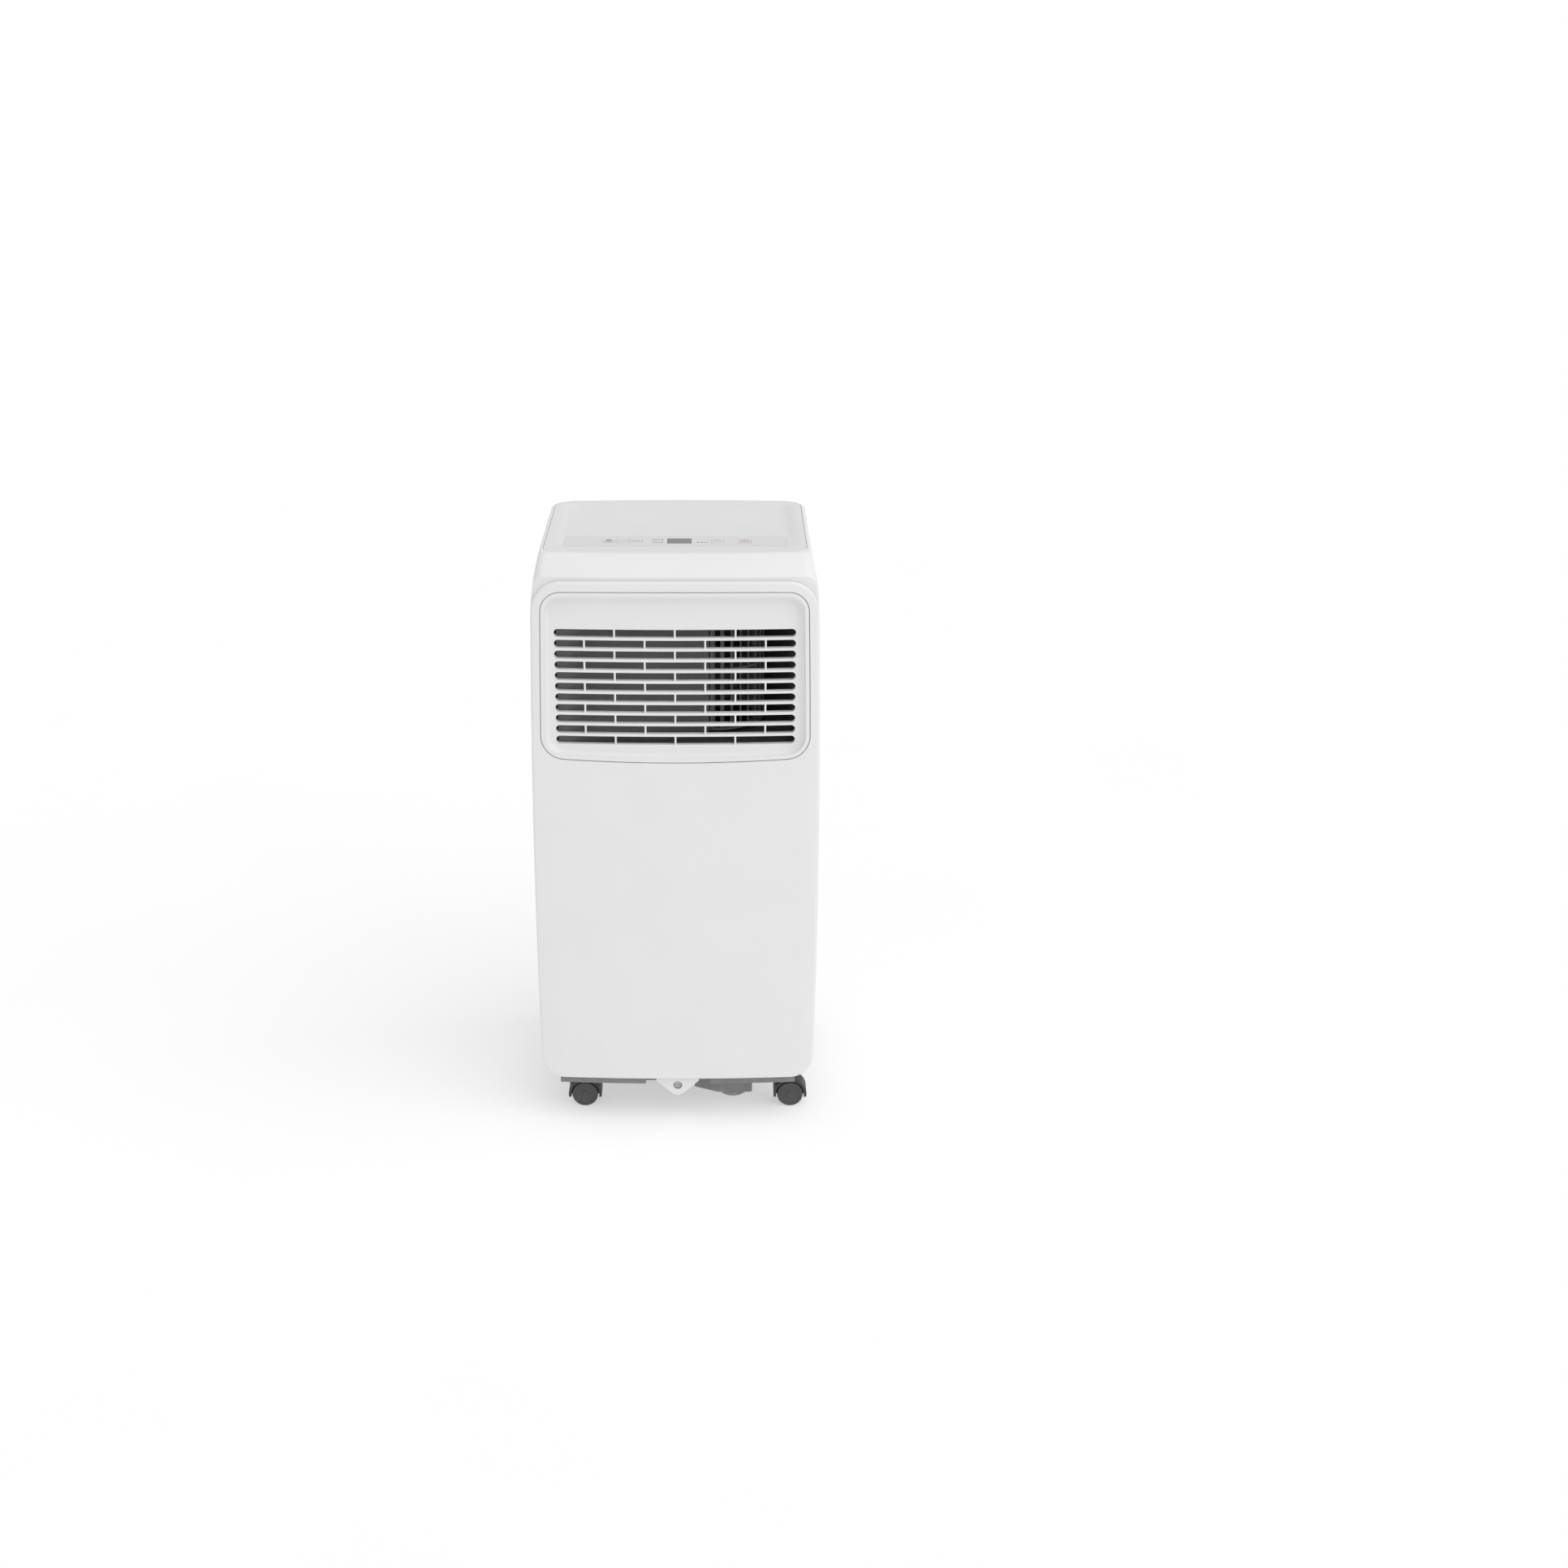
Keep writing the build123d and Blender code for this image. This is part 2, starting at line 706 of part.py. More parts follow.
for side, name in ((-1, "handle_left"), (1, "handle_right")):
    face_x = panel_half_width + grip_face_x
    centre = (0, grip_z)
    rim_size = (grip_outer[0] + 2 * grip_rim, grip_outer[1] + 2 * grip_rim)
    with BuildPart() as handle:
        with BuildSketch(Plane.YZ.offset(side * face_x)):
            add(panel_of(centre, rim_size, grip_corner + grip_wall + grip_rim))
        extrude(amount=-side * grip_rim)
        add(casing_outer, mode=Mode.SUBTRACT)
        with BuildSketch(Plane.YZ.offset(side * face_x)):
            add(panel_of(centre, grip_outer, grip_corner + grip_wall))
        extrude(amount=-side * grip_pocket)
        with BuildSketch(Plane.YZ.offset(side * face_x)):
            add(panel_of(centre, grip_opening, grip_corner))
        extrude(amount=-side * (grip_pocket - grip_wall), mode=Mode.SUBTRACT)
        rim_faces = handle.faces().filter_by(Axis.X).sort_by(lambda f: -abs(f.center().X))
        fillet(rim_faces[0].edges(), grip_wall / 2)
    save(handle, name)


# ---- top cover, control strip and keys
def soft_tray():
    """Shallow recess in the deck, with sloping walls."""
    levels = (overall_height, overall_height - deck_floor)
    with BuildPart() as tray:
        for z, margin, front, rear_gap, corner in zip(
            levels, tray_margins, tray_fronts, tray_rear_gaps, tray_corners
        ):
            width = 2 * (panel_half_width - margin)
            length = back_y - rear_gap - deep(front)
            with BuildSketch(Plane.XY.offset(z)):
                with Locations((0, deep(front) + length / 2)):
                    RectangleRounded(width, length, corner)
        loft()
    return tray.part


deck_floor_z = overall_height - deck_floor
strip_top_z = deck_floor_z + strip_proud
strip_bottom_z = strip_top_z - strip_thickness
strip_plan = panel_of(
    (0, deep(strip_front + strip_length / 2)),
    (2 * (panel_half_width - strip_margin), strip_length),
    strip_corner,
)
board_top_z = overall_height - board_drop
window_centre = (window_at[0], deep(window_at[1]))

with BuildPart() as top_deck:
    add(along_z(deck_plan(), deck_bottom_z, overall_height))
    fillet(top_deck.faces().sort_by(Axis.Z)[-1].edges(), seam)
    add(soft_tray(), mode=Mode.SUBTRACT)
    add(along_z(grown(strip_plan, strip_gap), strip_bottom_z, reach), mode=Mode.SUBTRACT)
    for bay in key_bays:
        bay_y = (deep(key_depth) - key_bay_length / 2, deep(key_depth) + key_bay_length / 2)
        add(block(bay, bay_y, (0, reach)), mode=Mode.SUBTRACT)
    window_hole = panel_of(window_centre, window_size, seam)
    add(along_z(window_hole, 0, reach), mode=Mode.SUBTRACT)
    with BuildSketch(Plane.XY.offset(board_top_z)):
        with Locations((0, deep(key_depth))):
            with GridLocations(board_size[0] - 4 * wall, board_size[1] - 4 * wall, 2, 2):
                Circle(wall)
    extrude(amount=deck_bottom_z - board_top_z)
save(top_deck, "top_deck")

with BuildPart() as control_overlay:
    add(along_z(strip_plan, strip_bottom_z, strip_top_z))
    add(along_z(window_hole, 0, reach), mode=Mode.SUBTRACT)
    for key_x in key_places.values():
        hole_size = (key_size[0] + 2 * key_gap, key_size[1] + 2 * key_gap)
        key_hole = panel_of((key_x, deep(key_depth)), hole_size, key_corner + key_gap)
        add(along_z(key_hole, 0, reach), mode=Mode.SUBTRACT)
save(control_overlay, "control_overlay")

with BuildPart() as display_window:
    glass_size = (window_size[0] - 2 * strip_gap, window_size[1] - 2 * strip_gap)
    glass_plan = panel_of(window_centre, glass_size, seam)
    add(along_z(glass_plan, strip_bottom_z, strip_top_z))
save(display_window, "display_window")

for key, key_x in key_places.items():
    key_bottom_z = strip_bottom_z - key_gap - key_flange[1]
    flange_size = (key_size[0] + 2 * key_flange[0], key_size[1] + 2 * key_flange[0])
    key_centre = (key_x, deep(key_depth))
    with BuildPart() as push_key:
        add(along_z(panel_of(key_centre, key_size, key_corner), key_bottom_z, strip_top_z + strip_proud))
        add(along_z(panel_of(key_centre, flange_size, key_corner), key_bottom_z, strip_bottom_z - key_gap))
        stem_bottom_z = board_top_z + switch_height + 2 * key_travel
        stem_y = (deep(key_depth) - key_stem / 2, deep(key_depth) + key_stem / 2)
        add(block((key_x - key_stem / 2, key_x + key_stem / 2), stem_y, (stem_bottom_z, key_bottom_z)))
    save(push_key, f"key_{key}")

with BuildPart() as control_board:
    board_plan = panel_of((0, deep(key_depth)), board_size, wall)
    add(along_z(board_plan, board_top_z - board_thickness, board_top_z))
    module_plan = panel_of(window_centre, glass_size, seam)
    add(along_z(module_plan, board_top_z, strip_bottom_z - strip_gap))
    with BuildSketch(Plane.XY.offset(board_top_z)):
        with Locations([(key_x, deep(key_depth)) for key_x in key_places.values()]):
            Rectangle(key_stem + 1, key_stem + 1)
    extrude(amount=switch_height)
save(control_board, "control_board")


# ---- back cover and what snaps into it
filter_half_width = panel_half_width - filter_margin
filter_bottom_z = tray_z + filter_lift
intake_bottom_z = ground_gap + intake_lift
intake_top_z = collar_z - sleeve_radius - collar_pad - intake_gap
pocket_floor_y = back_y - pocket_depth
frames = {
    "upper": (filter_bottom_z, filter_bottom_z + filter_height),
    "lower": (intake_bottom_z, intake_top_z),
}
drain_x = drain_margin - panel_half_width
drains = {"upper": tray_z - drain_drop, "lower": ground_gap + drain_rise}
gland_x = panel_half_width - gland_margin
gland_z = ground_gap + gland_rise
rear_screw_x = panel_half_width - rear_screw_margin
rear_screw_z = [ground_gap + rise for rise in rear_screw_rises] + [overall_height - rear_screw_drop]
rear_screws_at = [(side * rear_screw_x, z) for side in (-1, 1) for z in rear_screw_z]
spot_y = back_bow_y(rear_screw_x) - spot_face[1]

with BuildPart() as rear_panel:
    add(casing_shell & block(everywhere, (rear_seam_y + seam, reach), (0, rear_top_z)))
    for low_z, high_z in frames.values():
        outer_x = filter_half_width + pocket_gap + wall
        outer_z = (low_z - pocket_gap - wall, high_z + pocket_gap + wall)
        add(block((-outer_x, outer_x), (pocket_floor_y - wall, reach), outer_z) & casing_outer)
    for drain_z in drains.values():
        cup_y = back_y - drain_cup[1]
        add(rod_y(drain_x, drain_z, drain_cup[0] + wall, cup_y - wall, back_y) & casing_outer)
    add(rod_y(collar_x, collar_z, sleeve_radius + collar_pad, back_y - 3 * wall, back_y))
    gland_back_y = back_bow_y(gland_x)
    add(rod_y(gland_x, gland_z, gland_radii[2] + wall, gland_back_y - wall, gland_back_y + seam))
    for x, z in rear_screws_at:
        add(rod_y(x, z, spot_face[0] + wall, spot_y - rear_screw_length, spot_y) & casing_outer)
    for low_z, high_z in frames.values():
        inner_x = filter_half_width + pocket_gap
        inner_z = (low_z - pocket_gap, high_z + pocket_gap)
        add(block((-inner_x, inner_x), (pocket_floor_y, reach), inner_z), mode=Mode.SUBTRACT)
        window_x = inner_x - pocket_ledge
        window_z = (inner_z[0] + pocket_ledge, inner_z[1] - pocket_ledge)
        add(block((-window_x, window_x), (rear_seam_y, reach), window_z), mode=Mode.SUBTRACT)
    for drain_z in drains.values():
        add(rod_y(drain_x, drain_z, drain_cup[0], back_y - drain_cup[1], reach), mode=Mode.SUBTRACT)
        spout_end_y = back_y - spout_sink
        add(rod_y(drain_x, drain_z, spout_radius, back_y - drain_cup[1] - wall, spout_end_y))
        add(rod_y(drain_x, drain_z, spout_bore, rear_seam_y, reach), mode=Mode.SUBTRACT)
    add(rod_y(collar_x, collar_z, sleeve_radius + seam, rear_seam_y, reach), mode=Mode.SUBTRACT)
    add(rod_y(gland_x, gland_z, gland_radii[1] + fit, rear_seam_y, reach), mode=Mode.SUBTRACT)
    for x, z in rear_screws_at:
        add(rod_y(x, z, spot_face[0], spot_y, reach), mode=Mode.SUBTRACT)
        add(rod_y(x, z, screw_radius + fit, rear_seam_y, reach), mode=Mode.SUBTRACT)
save(rear_panel, "rear_panel")


def cross_recess(x, z, y_surface, side):
    """Cross-shaped recess for a screwdriver; side is the way the head faces along Y."""
    with BuildPart() as cross:
        with BuildSketch(Plane.XZ.offset(-y_surface)):
            with Locations((x, z)):
                Rectangle(*cross_size)
                Rectangle(*cross_size[::-1])
        extrude(amount=side * screw_head[1] / 2)
    return cross.part


with BuildPart() as front_screw:
    seat_y = deep(lug_depths[0] + lug_counterbore[1])
    add(rod_y(0, lug_hole_z, screw_head[0], seat_y - screw_head[1], seat_y))
    fillet(front_screw.faces().sort_by(Axis.Y)[0].edges(), screw_head[1] / 3)
    add(rod_y(0, lug_hole_z, screw_radius, seat_y, deep(pan_setback) + 3 * wall))
    add(cross_recess(0, lug_hole_z, seat_y - screw_head[1], -1), mode=Mode.SUBTRACT)
save(front_screw, "front_screw")

with BuildPart() as rear_screws:
    for x, z in rear_screws_at:
        add(rod_y(x, z, screw_head[0], spot_y, spot_y + screw_head[1]))
        add(rod_y(x, z, screw_radius, spot_y - rear_screw_length, spot_y))
        add(cross_recess(x, z, spot_y + screw_head[1], 1), mode=Mode.SUBTRACT)
save(rear_screws, "rear_screws")

for level, (low_z, high_z) in frames.items():
    outer_y = pocket_floor_y + seam + filter_depth
    inner_y = pocket_floor_y + seam
    centre_z = (low_z + high_z) / 2
    size = (2 * filter_half_width, high_z - low_z)
    opening = (size[0] - 2 * filter_border, size[1] - 2 * filter_border)
    slat_count = int(opening[1] / slat_pitch)
    with BuildPart() as filter_frame:
        add(along_y(panel_of((0, centre_z), size, filter_corner), inner_y, outer_y))
        fillet(filter_frame.faces().sort_by(Axis.Y)[-1].edges(), seam)
        frame_hole = panel_of((0, centre_z), opening, filter_corner / 2)
        add(along_y(frame_hole, inner_y, outer_y), mode=Mode.SUBTRACT)
        with BuildSketch(Plane.XZ.offset(-outer_y + seam)):
            with Locations((0, centre_z)):
                with GridLocations(0, slat_pitch, 1, slat_count):
                    Rectangle(opening[0] + seam, slat_height)
                with GridLocations(opening[0] / (filter_stiles + 1), 0, filter_stiles, 1):
                    Rectangle(stile_width, opening[1] + seam)
        extrude(amount=slat_depth)
    save(filter_frame, f"{level}_filter_frame")
    with BuildPart() as filter_mesh:
        mesh_size = (opening[0] - 2 * mesh_gap, opening[1] - 2 * mesh_gap)
        mesh_y = (inner_y + mesh_gap, inner_y + mesh_gap + mesh_thickness)
        add(along_y(panel_of((0, centre_z), mesh_size, filter_corner / 2), *mesh_y))
    save(filter_mesh, f"{level}_filter_mesh")

with BuildPart() as exhaust_collar:
    add(rod_y(collar_x, collar_z, sleeve_radius, fan_back_y, back_y + collar_proud))
    collar_rim = rod_y(collar_x, collar_z, sleeve_radius + collar_flange, back_y + seam, back_y + wall)
    add(collar_rim)
    fillet(exhaust_collar.faces().sort_by(Axis.Y)[-1].edges(), collar_wall / 4)
    add(rod_y(collar_x, collar_z, collar_bore, front_y, reach), mode=Mode.SUBTRACT)
save(exhaust_collar, "exhaust_collar")

for level, drain_z in drains.items():
    head_y = back_y - spout_sink + key_gap
    with BuildPart() as drain_cap:
        add(rod_y(drain_x, drain_z, cap_radius, head_y, head_y + cap_height))
        fillet(drain_cap.faces().sort_by(Axis.Y)[-1].edges(), wall / 2)
        add(rod_y(drain_x, drain_z, spout_bore - fit, head_y - cap_plug, head_y))
        with BuildSketch(Plane.XZ.offset(-head_y - cap_height)):
            with Locations([(drain_x + side * cap_finger_x, drain_z) for side in (-1, 1)]):
                Rectangle(*cap_finger)
        extrude(amount=cap_height / 2, mode=Mode.SUBTRACT)
    save(drain_cap, f"drain_cap_{level}")

with BuildPart() as cord_gland:
    gland_y = back_bow_y(gland_x) + seam + strip_gap
    add(rod_y(gland_x, gland_z, gland_radii[2], gland_y, gland_y + wall))
    fillet(cord_gland.faces().sort_by(Axis.Y)[-1].edges(), wall / 3)
    add(rod_y(gland_x, gland_z, gland_radii[1], gland_y - 3 * wall, gland_y))
    add(rod_y(gland_x, gland_z, gland_radii[0], front_y, reach), mode=Mode.SUBTRACT)
save(cord_gland, "cord_gland")


# ---- base pan
pan_half_width = half_width(ground_gap, casing_half_width) - wall - pan_margin
pan_y = (deep(pan_setback), back_y - pan_rear_gap)
pan_floor_top_z = pan_floor_z + pan_floor
pan_plan = panel_of((0, sum(pan_y) / 2), (2 * pan_half_width, pan_y[1] - pan_y[0]), pan_corner)
stem_x = panel_half_width - stem_margin
stem_y = overall_depth / 2 - stem_setback
stems = {
    "front_left": (-stem_x, -stem_y),
    "front_right": (stem_x, -stem_y),
    "rear_left": (-stem_x, stem_y),
    "rear_right": (stem_x, stem_y),
}
stem_top_z = pan_floor_z + 4 * pan_gap
compressor_at = (compressor_margin - panel_half_width, deep(compressor_depth))


def well_outline(inset):
    """Front view of the pump well under the pan, shrunk by inset."""
    with BuildSketch() as outline:
        with BuildLine():
            Polyline(
                (well_left + inset, pan_floor_top_z + inset),
                (well_left + inset, pan_floor_z - well_drop + inset),
                (well_knee, pan_floor_z - well_floor_drop + inset),
                (well_right - inset, pan_floor_z - well_floor_drop + inset),
                (well_right - inset, pan_floor_top_z + inset),
                close=True,
            )
        make_face()
        fillet(outline.vertices().group_by(Axis.Y)[0], wall)
    return outline.sketch


def bowl(inset):
    """Round bottom of the pump well, shrunk by inset."""
    bottom_z = pan_floor_z - bowl_drop + inset
    with BuildPart() as form:
        add(rod_z(bowl_at[0], deep(bowl_at[1]), bowl_radius - inset, bottom_z, pan_floor_z))
        fillet(form.faces().sort_by(Axis.Z)[0].edges(), bowl_round - inset)
    return form.part


def pan_section(inset):
    """Front view of the pan, narrow at its foot to pass the rounded edges, shrunk by inset."""
    foot_x = panel_half_width - pan_foot_margin
    knee_z = pan_floor_z + pan_side_rise + inset / 2
    flank_z = knee_z + pan_side_slope * (pan_half_width - foot_x)
    right = [
        (foot_x - inset, pan_floor_z + inset),
        (foot_x - inset, knee_z),
        (pan_half_width - inset, flank_z),
        (pan_half_width - inset, reach),
    ]
    with BuildSketch() as section:
        with BuildLine():
            Polyline(*right, *[(-x, z) for x, z in reversed(right)], close=True)
        make_face()
    return section.sketch


with BuildPart() as base_pan:
    add(along_z(pan_plan, pan_floor_z, pan_rim_z))
    add(along_y(pan_section(0), *pan_y), mode=Mode.INTERSECT)
    pan_hollow = along_z(grown(pan_plan, -pan_floor), pan_floor_top_z, reach)
    add(pan_hollow & along_y(pan_section(pan_floor), *pan_y), mode=Mode.SUBTRACT)
    rail_outer = panel_half_width - rail_margin
    for side in (-1, 1):
        rail_centre = side * (rail_inner + rail_outer) / 2
        rail_plan = panel_of(
            (rail_centre, deep(sum(rail_depths) / 2)),
            (rail_outer - rail_inner, 3 * rail_depths[1]),
            rail_round,
        )
        rail = along_z(rail_plan, pan_floor_z - rail_drop, pan_floor_z + rail_rise)
        add(rail & bowed_slab(*rail_depths))
    well_y = (deep(well_depths[0]), deep(well_depths[1]))
    add(along_y(well_outline(0), *well_y))
    add(bowl(0))
    add(along_y(well_outline(pan_floor), well_y[0] + pan_floor, well_y[1] - pan_floor), mode=Mode.SUBTRACT)
    add(bowl(pan_floor), mode=Mode.SUBTRACT)
    # boss behind the front screw
    boss_x = (-lug_counterbore[0] - wall, lug_counterbore[0] + wall)
    boss_z = (lug_hole_z - 2 * lug_counterbore[0], pan_floor_top_z)
    boss_y = (deep(lug_depths[1]) + seam, deep(pan_setback) + 3 * wall)
    add(block(boss_x, boss_y, boss_z))
    add(rod_y(0, lug_hole_z, screw_radius + fit, front_y, boss_y[1]), mode=Mode.SUBTRACT)
    for x, y in stems.values():
        add(rod_z(x, y, 2 * stem_radius, pan_floor_z, stem_top_z + wall))
        add(rod_z(x, y, stem_radius + fit, 0, stem_top_z + fit), mode=Mode.SUBTRACT)
save(base_pan, "base_pan")


# ---- casters
wheel_y = (wheel_gap / 2, wheel_gap / 2 + wheel_width)
for corner, (x, y) in stems.items():
    axle_x = x + caster_trail
    cavity_radius = wheel_radius + hood_clearance
    axle_half = wheel_y[1] - 2 * axle_end_gap - hood_clearance
    web = wheel_gap / 2 - axle_end_gap
    with BuildPart() as caster_hood:
        add(rod_y(axle_x, wheel_radius, hood_radius, y - wheel_y[1], y + wheel_y[1]))
        add(rod_z(x, y, hood_neck_radius, wheel_radius, hood_top_z))
        fillet(caster_hood.faces().sort_by(Axis.Z)[-1].edges(), wall)
        for side in (-1, 1):
            cavity_y = sorted((y + side * web, y + side * reach))
            add(rod_y(axle_x, wheel_radius, cavity_radius, *cavity_y), mode=Mode.SUBTRACT)
        add(block(everywhere, everywhere, (-reach, hood_leg_z)), mode=Mode.SUBTRACT)
        add(rod_y(axle_x, wheel_radius, 2 * axle_radius, y - web, y + web))
        add(rod_y(axle_x, wheel_radius, axle_radius, y - axle_half, y + axle_half))
        add(rod_z(x, y, stem_radius, hood_top_z - wall, stem_top_z))
        add(rod_z(x, y, stem_collar[0], hood_top_z - wall, hood_top_z + stem_collar[1]))
    save(caster_hood, f"caster_hood_{corner}")
    for side in (-1, 1):
        near, far = y + side * wheel_y[0], y + side * wheel_y[1]
        with BuildPart() as caster_wheel:
            add(rod_y(axle_x, wheel_radius, wheel_radius, min(near, far), max(near, far)))
            fillet(caster_wheel.edges(), hood_clearance)
            bore_end = y + side * (axle_half + axle_end_gap)
            bore_y = sorted((y, bore_end))
            add(rod_y(axle_x, wheel_radius, axle_radius + fit, *bore_y), mode=Mode.SUBTRACT)
        save(caster_wheel, f"caster_wheel_{corner}_{'a' if side < 0 else 'b'}")


# ---- blowers
def scroll_points(start_radius, growth, first, last, steps):
    """Points of a spiral that turns clockwise from the first to the last angle."""
    points = []
    for k in range(steps + 1):
        angle = radians(first + (last - first) * k / steps)
        radius = start_radius + growth * k / steps
        points.append((radius * cos(angle), radius * sin(angle)))
    return points


def blade_row(radius, count, length):
    """Plan of a row of tilted blades inside a radius."""
    with BuildSketch() as row:
        with PolarLocations(radius - length / 2 * cos(radians(blade_tilt)) - blade_thickness / 2, count):
            Rectangle(length, blade_thickness, rotation=blade_tilt)
    return row.sketch


def drum(radius, height, blades, hub_z, hub_height):
    """Squirrel-cage wheel on the Z axis that starts at z = 0, with its hub plate at hub_z."""
    with BuildPart() as wheel:
        for ring_z in (0, height - plate_thickness):
            with BuildSketch(Plane.XY.offset(ring_z)):
                Circle(radius)
                Circle(radius - blower_ring, mode=Mode.SUBTRACT)
            extrude(amount=plate_thickness)
        with BuildSketch(Plane.XY.offset(hub_z)):
            Circle(radius)
        extrude(amount=plate_thickness)
        with BuildSketch():
            add(blade_row(radius, blades, blade_length))
        extrude(amount=height)
        hub_middle = hub_z + plate_thickness / 2
        add(rod_z(0, 0, hub_radius, hub_middle - hub_height / 2, hub_middle + hub_height / 2))
        add(rod_z(0, 0, shaft_radius + fit, -reach, reach), mode=Mode.SUBTRACT)
    return wheel.part


blower_x = blower_at[0]
blower_z = scroll_floor_z + blower_lift
blower_hub_z = (blower_height - plate_thickness) / 2
with BuildPart() as upper_blower_wheel:
    with Locations((blower_x, blower_y, blower_z)):
        add(drum(blower_radius, blower_height, blower_blades, blower_hub_z, hub_length))
save(upper_blower_wheel, "upper_blower_wheel")

duct_front_y = deep(grille_depth - wall)


def scroll_plan(grow, first):
    """Plan of the outlet duct and scroll, grown by grow, with the spiral from its first angle."""
    start = scroll_start + scroll_growth * (1 - first / scroll_angles[0]) + grow
    spiral = scroll_points(start, scroll_start + scroll_growth + grow - start, first, 0.0, scroll_steps)
    spiral = [(blower_x + px, blower_y + py) for px, py in spiral]
    nose_y = deep(tongue_depth) + grow
    nose_x = tongue_nose[1] - wall if grow == 0 else tongue_nose[0]
    ends = scroll_ends + grow
    with BuildSketch() as plan:
        with BuildLine():
            wall_start = (-ends, duct_front_y + wall + grow)
            Polyline((-ends, duct_front_y), wall_start, (tongue_nose[0] - grow, nose_y))
            Polyline((tongue_nose[0] - grow, nose_y), (nose_x, nose_y), spiral[0])
            Spline(spiral)
            Polyline(spiral[-1], (ends, duct_front_y), (-ends, duct_front_y))
        make_face()
    return plan.sketch


behind_grille = bowed_slab(grille_depth + seam, overall_depth)
with BuildPart() as upper_volute:
    add(along_z(scroll_plan(wall, scroll_angles[1]), scroll_floor_z, scroll_ceiling_z) & behind_grille)
    hollow_z = scroll_floor_z + plate_thickness
    add(along_z(scroll_plan(0, scroll_angles[0]), hollow_z, reach), mode=Mode.SUBTRACT)
    mouth = block((-scroll_ends, scroll_ends), (front_y, duct_front_y + wall), (hollow_z, reach))
    add(mouth, mode=Mode.SUBTRACT)
    add(rod_z(blower_x, blower_y, scroll_eye, 0, scroll_floor_z + wall), mode=Mode.SUBTRACT)
save(upper_volute, "upper_volute")

lid_z = scroll_ceiling_z + seam
with BuildPart() as upper_volute_lid:
    add(along_z(scroll_plan(wall, scroll_angles[1]), lid_z, lid_z + plate_thickness) & behind_grille)
    add(rod_z(blower_x, blower_y, scroll_eye, 0, reach), mode=Mode.SUBTRACT)
    with BuildSketch(Plane.XY.offset(lid_z)):
        with Locations((blower_x, blower_y)):
            Circle(motor_seat_radius)
            with PolarLocations(scroll_eye / 2, 3, start_angle=30):
                Rectangle(scroll_eye + wall, spider_width)
    extrude(amount=plate_thickness)
    add(rod_z(blower_x, blower_y, 2 * shaft_radius, 0, reach), mode=Mode.SUBTRACT)
save(upper_volute_lid, "upper_volute_lid")

motor_z = lid_z + plate_thickness + fit
with BuildPart() as upper_fan_motor:
    add(rod_z(blower_x, blower_y, motor_radius, motor_z, motor_z + motor_length))
    fillet(upper_fan_motor.edges(), plate_thickness)
    add(rod_z(blower_x, blower_y, shaft_radius + fit, 0, motor_z + motor_length / 2), mode=Mode.SUBTRACT)
save(upper_fan_motor, "upper_fan_motor")

with BuildPart() as upper_fan_shaft:
    shaft_low_z = blower_z + blower_hub_z - hub_length
    add(rod_z(blower_x, blower_y, shaft_radius, shaft_low_z, motor_z + motor_length / 2 - motor_gap))
save(upper_fan_shaft, "upper_fan_shaft")

fan_wheel_y = fan_front_y + plate_thickness + fan_side_gap
fan_plane = Plane(origin=(fan_x, fan_wheel_y, fan_z), x_dir=(1, 0, 0), z_dir=(0, 1, 0))
fan_rotor = drum(fan_radius, fan_width, fan_blades, plate_thickness, hub_length / 2)
with BuildPart() as lower_blower_wheel:
    add(fan_plane * fan_rotor)
save(lower_blower_wheel, "lower_blower_wheel")


def fan_plan(grow, first):
    """Front view of the exhaust scroll and its duct, grown by grow, from the spiral's first angle."""
    start = fan_start + fan_growth * (first - fan_angles[0]) / (360.0 - fan_angles[0]) + grow
    spiral = scroll_points(start, fan_start + fan_growth + grow - start, first, 360.0, scroll_steps)
    spiral = [(fan_x + px, fan_z + pz) for px, pz in spiral]
    left_x = collar_x - sleeve_radius - duct_margin + duct_left_inset - grow
    right_x = spiral[-1][0]
    top_z = tray_z - duct_top_gap - wall + grow
    shoulder = shoulder_z - grow
    with BuildSketch() as plan:
        with BuildLine():
            Spline(spiral)
            Polyline(spiral[-1], (right_x, top_z), (left_x, top_z), (left_x, shoulder), spiral[0])
        make_face()
    return plan.sketch


shoulder_z = collar_z - sleeve_radius - duct_shoulder_gap
fan_lid_y = fan_back_y - plate_thickness
with BuildPart() as lower_volute:
    add(along_y(fan_plan(wall, fan_angles[1]), fan_front_y, fan_lid_y - seam))
    add(along_y(fan_plan(0, fan_angles[0]), fan_front_y + plate_thickness, reach), mode=Mode.SUBTRACT)
    add(rod_y(fan_x, fan_z, 2 * shaft_radius, front_y, reach), mode=Mode.SUBTRACT)
save(lower_volute, "lower_volute")

with BuildPart() as lower_volute_cover:
    add(along_y(fan_plan(wall, fan_angles[1]), fan_lid_y, fan_back_y - fit))
    add(rod_y(fan_x, fan_z, fan_eye, front_y, reach), mode=Mode.SUBTRACT)
    add(rod_y(collar_x, collar_z, collar_bore, front_y, reach), mode=Mode.SUBTRACT)
save(lower_volute_cover, "lower_volute_cover")

fan_motor_y = fan_front_y - fit
with BuildPart() as lower_fan_motor:
    add(rod_y(fan_x, fan_z, motor_radius, fan_motor_y - motor_length, fan_motor_y))
    fillet(lower_fan_motor.edges(), plate_thickness)
    add(rod_y(fan_x, fan_z, shaft_radius + fit, fan_motor_y - motor_length / 2, reach), mode=Mode.SUBTRACT)
save(lower_fan_motor, "lower_fan_motor")

